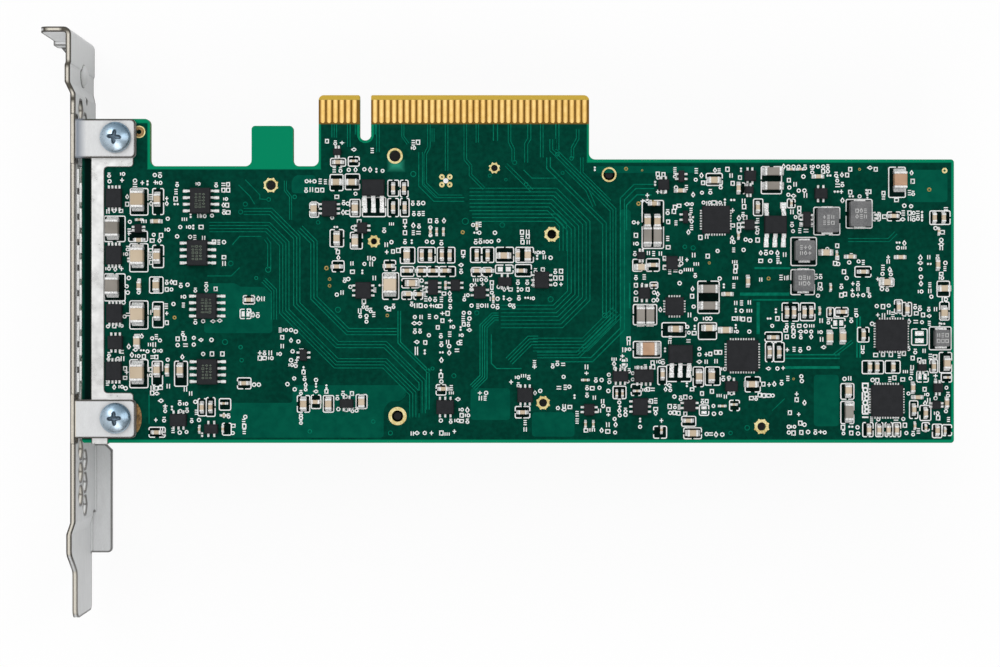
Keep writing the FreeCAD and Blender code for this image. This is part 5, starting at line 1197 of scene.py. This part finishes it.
def board_print():
    mesh, layer = start_strips()
    height = SOLDER_FACE + PRINT_LIFT
    for left, right, low, high in FRAMES:
        radius = min(FRAME_RADIUS, (right - left) / ROUNDEST_SHARE, (high - low) / ROUNDEST_SHARE)
        gaps = [random.choice(GAP_CHOICES) for quarter in FRAME_QUARTERS]
        for side, end, first, second in FRAME_QUARTERS:
            line = corner_line(left, right, low, high, radius, side, end, gaps[first], gaps[second])
            strip(mesh, layer, line, FRAME_STROKE, height)
    for y, *row in MARK_ROWS:
        for x in row:
            size = random.uniform(*MARK_SIZES)
            turned = random.random() < MARK_TURNED
            mark(mesh, layer, x, y, random.choice(MARK_CHOICES), size, MARK_STROKE, height, turned)
    y = SIDE_LABEL_Y[0]
    while y > SIDE_LABEL_Y[1]:
        mark(mesh, layer, SIDE_LABEL_X, y, random.choice(MARK_CHOICES), SIDE_LABEL_SIZE, SIDE_LABEL_STROKE,
             height, True)
        y -= SIDE_LABEL_STEP
    strip_piece("board_print", mesh, layer, PRINT_WHITE)


# Bare pads of an empty frame: shares of its half sizes that they are shifted by, long and wide
PAD_SHIFT = 0.45
PAD_LONG = 0.28
PAD_WIDE = 0.55
WELL_ROUNDING = (0.8 * FRAME_RADIUS, 2)


def part_well_shades(parts):
    """Dark mask with painted shadow inside the printed frames that hold a part; an empty frame keeps two bare
    pads instead.
    """
    wells = bmesh.new()
    pads = bmesh.new()
    for left, right, low, high in FRAMES:
        if any(left < middle.x < right and low < middle.y < high for middle in parts):
            patch(wells, rectangle(left, right, low, high), SOLDER_FACE + WELL_LIFT)
            continue
        half_x = (right - left) / 2
        half_y = (high - low) / 2
        flat = half_x > half_y
        pad_x = half_x * (PAD_LONG if flat else PAD_WIDE)
        pad_y = half_y * (PAD_WIDE if flat else PAD_LONG)
        for shift in (PAD_SHIFT, -PAD_SHIFT):
            x = (left + right) / 2 + (shift * half_x if flat else 0)
            y = (low + high) / 2 + (0 if flat else shift * half_y)
            patch(pads, rectangle(x - pad_x, x + pad_x, y - pad_y, y + pad_y), SOLDER_FACE + PLATING_LIFT)
    rounded(wells, *WELL_ROUNDING, "VERTICES")
    flat_piece("part_well_shades", wells, WELL_SHADE_MASK)
    flat_piece("bare_pads", pads, SOLDER)


# Copper seen through the mask: centre line, number of tracks, their spacing and width
TRACKS = [
    ([(20.0, -20.1), (35.9, -20.1), (41.0, -25.2), (41.0, -38.6), (37.0, -42.6),
      (26.0, -42.6)], 7, 0.72, 0.16),
    ([(20.5, -23.6), (36.6, -23.6), (38.0, -25.0), (38.0, -30.0)], 3, 0.7, 0.16),
    ([(36.0, -8.5), (36.0, -10.5), (47.6, -22.1), (47.6, -43.2), (40.8, -50.0),
      (33.0, -50.0)], 3, 0.55, 0.16),
    ([(35.2, -12.0), (35.2, -14.0), (45.95, -24.75), (45.95, -42.0)], 2, 0.7, 0.2),
    ([(55.5, -17.6), (51.8, -17.6), (49.4, -20.0), (49.4, -45.0), (43.5, -50.9),
      (36.0, -50.9)], 2, 0.8, 0.2),
    ([(55.0, -19.2), (52.2, -19.2), (50.2, -21.2), (50.2, -26.0)], 1, 0.8, 0.25),
    ([(32.2, -48.0), (42.2, -48.0), (48.5, -41.7)], 5, 0.62, 0.14),
    ([(27.6, -51.2), (31.6, -47.2), (33.2, -47.2)], 4, 0.55, 0.16),
    ([(25.6, -42.6), (24.6, -42.6), (22.7, -44.5), (22.7, -54.2), (20.6, -56.3)], 4, 0.45, 0.2),
    ([(24.2, -46.0), (24.2, -51.6), (25.2, -52.6), (30.0, -52.6)], 1, 0.5, 0.2),
    ([(-30.0, -25.4), (-18.8, -25.4), (-15.6, -28.6), (-15.6, -41.6), (-5.6, -51.6), (3.7, -51.6),
      (9.4, -57.3), (9.4, -62.0)], 4, 0.6, 0.15),
    ([(-23.4, -22.4), (-18.2, -22.4), (-13.2, -27.4), (-13.2, -40.2), (-5.4, -48.0), (3.8, -48.0),
      (10.9, -55.1), (10.9, -61.2)], 3, 0.6, 0.16),
    ([(-12.6, -25.6), (-9.9, -28.3), (-9.9, -39.0), (-3.4, -45.5), (6.0, -45.5)], 3, 0.6, 0.18),
    ([(6.5, -41.5), (6.5, -47.6), (12.0, -53.1), (12.0, -60.5)], 2, 0.5, 0.2),
    ([(-19.2, -27.6), (-18.5, -28.6), (-18.5, -33.4)], 2, 0.6, 0.16),
    ([(-19.6, -35.6), (-17.6, -37.6), (-17.6, -43.2)], 3, 0.5, 0.16),
    ([(-24.4, -17.3), (-22.2, -19.5), (-21.3, -21.0)], 1, 0.5, 0.16),
    ([(-23.1, -16.3), (-20.3, -19.2), (-20.3, -20.0), (-18.9, -20.1)], 1, 0.5, 0.16),
    ([(-15.4, -16.5), (-15.4, -18.3), (-14.4, -19.6), (-14.4, -24.0)], 2, 0.4, 0.14),
    ([(-30.4, -34.8), (-25.8, -34.8), (-24.2, -33.2)], 1, 0.5, 0.16),
    ([(-25.6, -28.8), (-24.2, -27.2), (-20.0, -27.2)], 1, 0.5, 0.16),
    ([(-6.0, -5.6), (-6.0, -8.2)], 3, 0.45, 0.2), ([(-3.2, -5.6), (-3.2, -10.0)], 2, 0.5, 0.2),
    ([(2.4, -5.6), (2.4, -11.0)], 2, 0.5, 0.16), ([(7.2, -5.6), (7.2, -8.0), (8.2, -9.4)], 2, 0.4, 0.14),
    ([(10.6, -11.0), (10.6, -17.4), (13.3, -20.1), (19.0, -20.1)], 2, 0.7, 0.16),
    ([(12.2, -5.6), (12.2, -10.0), (11.5, -11.4), (11.5, -17.0), (14.0, -19.5),
      (18.6, -19.5)], 2, 0.5, 0.14),
    ([(15.6, -5.6), (15.6, -14.6)], 2, 0.5, 0.14), ([(13.0, -6.4), (13.0, -9.0)], 2, 0.4, 0.14),
    ([(19.2, -5.6), (19.2, -12.4), (20.2, -13.6), (20.2, -15.4), (22.8, -18.0)], 2, 0.5, 0.14),
    ([(21.5, -5.6), (21.5, -9.2)], 2, 0.45, 0.16), ([(25.0, -5.6), (25.0, -8.8)], 2, 0.8, 0.2),
    ([(27.7, -5.6), (27.7, -9.0), (28.4, -10.4), (28.4, -12.8)], 2, 0.5, 0.16),
    ([(31.5, -5.6), (31.5, -8.4), (30.9, -9.4), (30.9, -13.0)], 2, 0.6, 0.16),
    ([(33.9, -5.6), (33.9, -12.0)], 2, 0.5, 0.16), ([(36.9, -5.6), (36.9, -10.6)], 2, 0.6, 0.2),
    ([(40.8, -6.6), (40.8, -8.4), (39.8, -10.2), (39.8, -12.2)], 2, 0.5, 0.16),
    ([(27.0, -13.4), (32.0, -18.4)], 2, 0.6, 0.14),
    ([(30.4, -14.4), (32.0, -16.0), (36.5, -16.0)], 1, 0.5, 0.16),
    ([(38.6, -14.2), (42.6, -18.2), (44.0, -21.4)], 2, 0.6, 0.16),
    ([(41.6, -12.0), (41.6, -15.0), (47.0, -20.4)], 2, 0.5, 0.14),
    ([(92.8, -27.9), (100.6, -27.9), (102.0, -26.5)], 2, 0.6, 0.14),
    ([(72.0, -38.3), (81.5, -38.3)], 1, 0.5, 0.6), ([(74.8, -33.3), (81.7, -33.3)], 1, 0.5, 0.4),
    ([(74.5, -39.4), (82.8, -39.4)], 1, 0.5, 0.3), ([(75.5, -39.8), (75.5, -46.0)], 1, 0.5, 0.6),
    ([(80.6, -50.3), (91.2, -50.3)], 2, 0.7, 0.25), ([(80.6, -52.4), (91.2, -52.4)], 1, 0.5, 0.5),
    ([(78.2, -60.7), (80.6, -58.4)], 1, 0.5, 0.14), ([(94.8, -50.5), (94.8, -42.6)], 2, 0.6, 0.3),
    ([(90.2, -50.0), (93.6, -47.4)], 2, 0.5, 0.2), ([(-41.6, -57.6), (-41.6, -63.2)], 1, 0.5, 0.16),
    ([(50.8, -36.2), (50.8, -41.0)], 1, 0.5, 0.3), ([(-1.9, -5.6), (-1.9, -7.6)], 1, 0.5, 0.3),
    ([(1.9, -5.6), (1.9, -7.6)], 1, 0.5, 0.3),
]
POURS = [
    [(-26.0, -59.2), (-14.0, -59.2), (-14.0, -55.8), (7.0, -55.8), (7.9, -56.7), (7.9, -57.8), (6.6, -58.9),
     (4.6, -58.9), (3.5, -60.4), (3.5, -65.9), (-26.0, -65.9)],
    rectangle(20.2, 27.8, -62.5, -56.4),
    rectangle(32.0, 40.2, -65.7, -61.0),
    rectangle(86.2, 91.0, -63.7, -53.8),
    [(-31.0, -45.8), (-17.9, -45.8), (-17.9, -38.5), (-19.6, -36.9), (-24.2, -36.9), (-24.8, -36.2),
     (-31.0, -36.2)],
    rectangle(104.2, 111.9, -20.6, -14.4),
    [(-14.2, -18.9), (-9.6, -18.9), (-9.6, -15.4), (-13.4, -15.4), (-14.2, -16.4)],
    rectangle(44.2, 64.0, -15.0, -13.7),
    rectangle(48.9, 51.0, -53.0, -22.0),
]
POUR_ROUNDING = (0.6, 3)
# Rings of the buried vias: place and radius
GREEN_VIAS = [
    (-23.1, -21.0, 0.4), (-24.0, -22.5, 0.4), (-18.6, -20.1, 0.35), (-9.1, -24.5, 0.35), (-13.6, -19.6, 0.35),
    (9.2, -15.2, 0.5), (28.7, -13.0, 0.4), (30.9, -17.2, 0.35), (19.2, -24.3, 0.6), (26.3, -25.0, 0.45),
    (27.0, -16.3, 0.25), (23.9, -15.5, 0.3), (-24.0, -48.5, 0.35), (-23.8, -51.0, 0.35), (-10.7, -64.7, 0.35),
    (-5.3, -41.3, 0.5), (35.6, -39.3, 0.5), (12.0, -53.0, 0.4), (-25.9, -32.4, 0.45), (-21.0, -35.2, 0.3),
    (-27.0, -47.5, 0.5), (70.2, -65.0, 0.35), (73.4, -64.0, 0.45), (21.4, -41.9, 0.4), (12.9, -52.6, 0.3),
    (1.5, -62.8, 0.35), (4.8, -65.0, 0.4), (46.0, -42.4, 0.45), (63.0, -29.4, 0.4), (61.4, -29.2, 0.35),
    (37.9, -15.0, 0.3), (39.6, -12.2, 0.35), (36.9, -11.4, 0.35), (-18.7, -33.6, 0.5), (17.0, -54.0, 0.4),
]
VIA_STROKE = 0.16
VIA_STEPS = 12
# Light border of the mask round the key notch
SLOT_MOUTH_Y = -5.7
SLOT_END_Y = -7.65
SLOT_BORDER_RADIUS = 1.36
SLOT_BORDER_WIDTH = 0.5
SLOT_STEPS = 10


def side_track(points, shift):
    """A track beside the centre line, its corners moved along the line that halves each bend."""
    moved = []
    for number in range(len(points)):
        here, edge, share = bend_at(points, number)
        moved.append(here + edge * (shift / share))
    return moved


def copper_tracks():
    mesh, layer = start_strips()
    height = SOLDER_FACE + TRACK_LIFT
    for points, count, spacing, width in TRACKS:
        for number in range(count):
            strip(mesh, layer, side_track(points, (number - (count - 1) / 2) * spacing), width, height)
    for x, y, radius in GREEN_VIAS:
        strip(mesh, layer, ellipse(x, y, radius, radius, VIA_STEPS), VIA_STROKE, height, closed=True)
    strip_piece("copper_tracks", mesh, layer, TRACK_MASK)

    mesh = bmesh.new()
    for points in POURS:
        patch(mesh, points, SOLDER_FACE + POUR_LIFT)
    rounded(mesh, *POUR_ROUNDING, "VERTICES")
    flat_piece("copper_pours", mesh, POUR_MASK)

    mesh, layer = start_strips()
    slot = arc(0.0, SLOT_END_Y, SLOT_BORDER_RADIUS, math.pi, 2 * math.pi, SLOT_STEPS)
    slot = [(-SLOT_BORDER_RADIUS, SLOT_MOUTH_Y)] + slot + [(SLOT_BORDER_RADIUS, SLOT_MOUTH_Y)]
    strip(mesh, layer, slot, SLOT_BORDER_WIDTH, height)
    strip_piece("slot_border", mesh, layer, BORDER_MASK)


# Plated rims of the drilled holes: place, hole radius, rim radius and whether small lobes stand round it
RIMS = [
    (-18.19, -17.35, 0.96, 1.3, True), (5.67, -11.73, 1.1, 1.5, False), (24.79, -14.04, 0.63, 0.92, True),
    (46.85, -15.31, 1.1, 1.42, False), (35.83, -26.79, 0.88, 1.35, True), (6.17, -61.75, 1.1, 1.75, False),
    (34.15, -59.19, 0.77, 1.2, True), (76.17, -63.75, 0.81, 1.35, True), (1.63, -28.15, 0.6, 1.05, True),
]
RING_STEPS = 32
RIM_LOBES = 8
LOBE_RADIUS = 0.2
LOBE_STEPS = 10
# Further plated rings: place, middle radius and width
MORE_RINGS = [(111.35, -14.55, 0.38, 0.3), (-43.5, -7.1, 1.08, 0.2)]
# Bare test pad with four rings round it
TEST_PAD = (15.45, -16.5)
TEST_PAD_RADIUS = 0.5
PETAL_SHIFT = 0.75
PETAL_RADIUS = 0.36
PETAL_WIDTH = 0.34
PETAL_STEPS = 12
# Gold rings of open vias: place and radius; the ring's middle and width are shares of it
GOLD_VIAS = [
    (50.1, -14.2, 0.38), (52.5, -20.9, 0.42), (55.5, -20.8, 0.6), (108.4, -18.2, 0.42), (77.5, -35.3, 0.4),
    (-36.7, -42.8, 0.38), (4.2, -42.4, 0.35), (95.0, -14.3, 0.28), (-7.5, -33.3, 0.45), (-6.9, -35.4, 0.35),
    (-6.9, -36.7, 0.35), (66.1, -32.3, 0.3), (82.3, -54.6, 0.25), (53.2, -14.5, 0.2), (18.7, -26.4, 0.4),
]
VIA_MIDDLE = 0.72
VIA_WIDTH = 0.5
# Dull plating beside the bracket ears: arcs by middle, radius, width and the two angles they run between
EAR_PLATING = [(-43.5, -7.1, 0.72, 0.6, -2.4, 2.4), (-47.8, -62.1, 4.3, 1.0, -0.62, 0.62)]
EAR_PLATING_STEPS = 16
EAR_HOLE = (-43.5, -7.1, 0.44)
DISC_STEPS = 16


def plated_rims():
    mesh, layer = start_strips()
    height = SOLDER_FACE + PLATING_LIFT
    for x, y, hole, rim, lobed in RIMS:
        middle = (hole + rim) / 2
        strip(mesh, layer, ellipse(x, y, middle, middle, RING_STEPS), rim - hole, height, closed=True)
    for way_x in (PETAL_SHIFT, -PETAL_SHIFT):
        for way_y in (PETAL_SHIFT, -PETAL_SHIFT):
            ring = ellipse(TEST_PAD[0] + way_x, TEST_PAD[1] + way_y, PETAL_RADIUS, PETAL_RADIUS, PETAL_STEPS)
            strip(mesh, layer, ring, PETAL_WIDTH, height, closed=True)
    for x, y, radius, width in MORE_RINGS:
        strip(mesh, layer, ellipse(x, y, radius, radius, RING_STEPS), width, height, closed=True)
    widen_strips(mesh, layer)
    for x, y, hole, rim, lobed in RIMS:
        for number in range(RIM_LOBES if lobed else 0):
            angle = 2 * math.pi * (number + 0.5) / RIM_LOBES
            disc(mesh, x + rim * math.cos(angle), y + rim * math.sin(angle), LOBE_RADIUS, LOBE_STEPS)
    flat_piece("plated_rims", mesh, RIM_GOLD)

    mesh, layer = start_strips()
    for x, y, radius in GOLD_VIAS:
        middle = radius * VIA_MIDDLE
        strip(mesh, layer, ellipse(x, y, middle, middle, VIA_STEPS), radius * VIA_WIDTH, height, closed=True)
    strip_piece("gold_vias", mesh, layer, VIA_GOLD)

    mesh, layer = start_strips()
    for x, y, radius, width, start, stop in EAR_PLATING:
        strip(mesh, layer, arc(x, y, radius, start, stop, EAR_PLATING_STEPS), width, height)
    strip_piece("ear_plating", mesh, layer, WORN_PLATING)

    mesh = bmesh.new()
    disc(mesh, *EAR_HOLE, DISC_STEPS)
    flat_piece("ear_hole_shade", mesh, WELL_SHADE_MASK)

    mesh = bmesh.new()
    disc(mesh, *TEST_PAD, TEST_PAD_RADIUS, DISC_STEPS)
    flat_piece("test_pad", mesh, SOLDER)


# Markings on the parts: piece, node, finish, slot, rows, columns, spacing across and up, size, stroke, turned
STAMPS = [
    ("chip_markings", "driver_chip_bodies", CHIP_MARK, "chip_black", 5, 3, 0.72, 0.6, 0.52, 0.1, True),
    ("inductor_markings", "inductors", INDUCTOR_MARK, "inductor_grey", 2, 3, 0.8, 1.1, 0.8, 0.17, False),
]


def part_markings():
    for name, node, finish, slot, rows, columns, step_x, step_y, size, stroke, turned in STAMPS:
        mesh, layer = start_strips()
        for low, high in solids(node):
            middle = (low + high) / 2
            for row in range(rows):
                for column in range(columns):
                    x = middle.x + (column - (columns - 1) / 2) * step_x
                    y = middle.y + (row - (rows - 1) / 2) * step_y
                    mark(mesh, layer, x, y, random.choice(STAMP_CHOICES), size, stroke, high.z + PRINT_LIFT,
                         turned)
        strip_piece(name, mesh, layer, finish)


# Studio

WHITE = (1.0, 1.0, 1.0)
WORLD_LIGHT = 0.45
# What shiny parts mirror: how it brightens from level to straight up, towards the back and the left
MIRROR_HEIGHTS = (0.1, 0.9)
MIRROR_LIGHT = (0.12, 1.0)
MIRROR_BACK = 0.2
MIRROR_LEFT = 0.3
MIRROR_LEAST = 0.08
FLOOR_HALF = 2.0
FLOOR_DROP = 0.00002
FLOOR_LIGHT = (0.95, 0.95, 0.95)
FLOOR_SHADOW = (0.05, 0.05, 0.05)
# Field near the card where the floor shows some shadow, and the field under the board where a painted shadow
# darkens it
NEAR_CARD = (BOARD_LEFT - 20.0, BOARD_RIGHT + 12.0, BOARD_FAR - 40.0, 22.0)
NEAR_SOFT = 14.0
SHADOW_SHARE = 0.08
UNDER_BOARD = (BOARD_LEFT + 7.0, BOARD_RIGHT - 7.0, BOARD_FAR + 7.0, -20.0)
UNDER_SOFT = 7.0
UNDER_SHADE = 0.6
HOLE_SHADE_ROOM = 0.45
HOLE_SHADE_SOFT = 0.35
HOLE_SHADE_TILT = 0.08
# Lamps: place in metres, power and size
LAMPS = [
    ("window_light", (-0.45, 0.42, 0.62), 2.2, 0.5),
    ("fill_right", (0.62, 0.1, 0.6), 1.3, 0.5),
    ("fill_front", (0.05, -0.65, 0.6), 1.3, 0.5),
]
CLIP_START = 0.01


def floor_finish():
    """White floor with a faint shadow near the card, plain white further off, a painted shadow right under
    the board and painted shade where the camera looks through its holes."""
    material, tree = start_material("studio_floor", 0.9, 0.0, 0.0)
    shader = tree.nodes["Principled BSDF"]
    floor_reach = (CAMERA_Z - cad_box[0].z / MM) / CAMERA_Z
    spots = []
    for x, y, hole, _, _ in RIMS:
        spot_x = CAMERA_X + (x - CAMERA_X) * floor_reach
        spot_y = CAMERA_Y + (y - CAMERA_Y) * floor_reach
        room = hole + HOLE_SHADE_ROOM
        spots.append((spot_x - room, spot_x + room, spot_y - room, spot_y + room))
    soft_shadow = maths(tree, "MULTIPLY", any_field(tree, [UNDER_BOARD], UNDER_SOFT), UNDER_SHADE)
    slant = add_node(tree, "LayerWeight", {"Blend": 0.5}).outputs["Facing"]
    from_above = maths(tree, "LESS_THAN", slant, HOLE_SHADE_TILT)
    through_holes = maths(tree, "MULTIPLY", any_field(tree, spots, HOLE_SHADE_SOFT), from_above)
    under = maths(tree, "MAXIMUM", soft_shadow, through_holes)
    # Painted shadow under the board and painted shade below its holes, in the floor's own colour
    tree.links.new(mixed(tree, under, FLOOR_LIGHT, FLOOR_SHADOW), shader.inputs["Base Color"])
    near = maths(tree, "MULTIPLY", any_field(tree, [NEAR_CARD], NEAR_SOFT), SHADOW_SHARE)
    open_share = maths(tree, "SUBTRACT", 1.0, maths(tree, "MAXIMUM", near, under))
    seen = maths(tree, "MULTIPLY", add_node(tree, "LightPath", {}).outputs["Is Camera Ray"], open_share)
    plain = add_node(tree, "Emission", {"Color": WHITE}).outputs[0]
    tree.links.new(mixed_shaders(tree, seen, shader.outputs[0], plain),
                   tree.nodes["Material Output"].inputs["Surface"])
    return material


def studio_world():
    """Even light, plain white behind the card, and a room, brighter above, for shiny parts to mirror."""
    world = bpy.data.worlds.new("studio_white")
    world.use_nodes = True
    tree = world.node_tree
    tree.nodes.remove(tree.nodes["Background"])
    way = axes(tree, add_node(tree, "TexCoord", {}).outputs["Generated"])
    ceiling = spread(tree, way["Z"], *MIRROR_HEIGHTS, *MIRROR_LIGHT)
    side = maths(tree, "SUBTRACT", maths(tree, "MULTIPLY", way["Y"], MIRROR_BACK),
                 maths(tree, "MULTIPLY", way["X"], MIRROR_LEFT))
    room = maths(tree, "MAXIMUM", maths(tree, "ADD", ceiling, side), MIRROR_LEAST)
    soft, seen, mirrored = [add_node(tree, "Background", {"Color": WHITE, "Strength": strength}).outputs[0]
                            for strength in (WORLD_LIGHT, 1.0, room)]
    rays = add_node(tree, "LightPath", {}).outputs
    open_rays = maths(tree, "MAXIMUM", rays["Is Camera Ray"], rays["Is Transmission Ray"])
    surface = mixed_shaders(tree, open_rays, soft, seen)
    surface = mixed_shaders(tree, rays["Is Glossy Ray"], surface, mirrored)
    tree.links.new(surface, tree.nodes["World Output"].inputs["Surface"])
    bpy.context.scene.world = world


def studio():
    floor_mesh = bmesh.new()
    bmesh.ops.create_grid(floor_mesh, x_segments=1, y_segments=1, size=FLOOR_HALF)
    for vert in floor_mesh.verts:
        vert.co.z = cad_box[0].z - FLOOR_DROP
    floor = mesh_object("studio_floor", floor_mesh, [floor_finish()])
    studio_world()
    for name, place, power, size in LAMPS:
        lamp = bpy.data.lights.new(name, "AREA")
        lamp.shape = "SQUARE"
        lamp.size = size
        lamp.energy = power
        holder = add_object(name, lamp)
        holder.location = place
        aim = Vector((CAMERA_X * MM, CAMERA_Y * MM, 0)) - Vector(place)
        holder.rotation_euler = aim.to_track_quat("-Z", "Y").to_euler()
    view = bpy.data.cameras.new("photo_camera")
    view.sensor_fit = "HORIZONTAL"
    view.sensor_width = SENSOR_WIDTH
    view.lens = FOCAL_PIXELS * SENSOR_WIDTH / IMAGE_WIDTH
    view.clip_start = CLIP_START
    camera = add_object("photo_camera", view)
    camera.location = (CAMERA_X * MM, CAMERA_Y * MM, CAMERA_Z * MM)
    bpy.context.scene.camera = camera
    bpy.context.scene.view_settings.view_transform = "Standard"


dress_nodes()
held = [(low + high) / 2 for low, high, along in all_capacitors()]
for node in ("inductors", "small_chips", "transistor_leads"):
    held += [(low + high) / 2 for low, high in solids(node)]
lead_solder()
chip_terminals()
gasket_fingers()
pin_springs()
screw_heads()
ear_fold_edges()
copper_tracks()
part_well_shades(held)
plated_rims()
board_print()
part_markings()
studio()

bpy.context.view_layer.update()
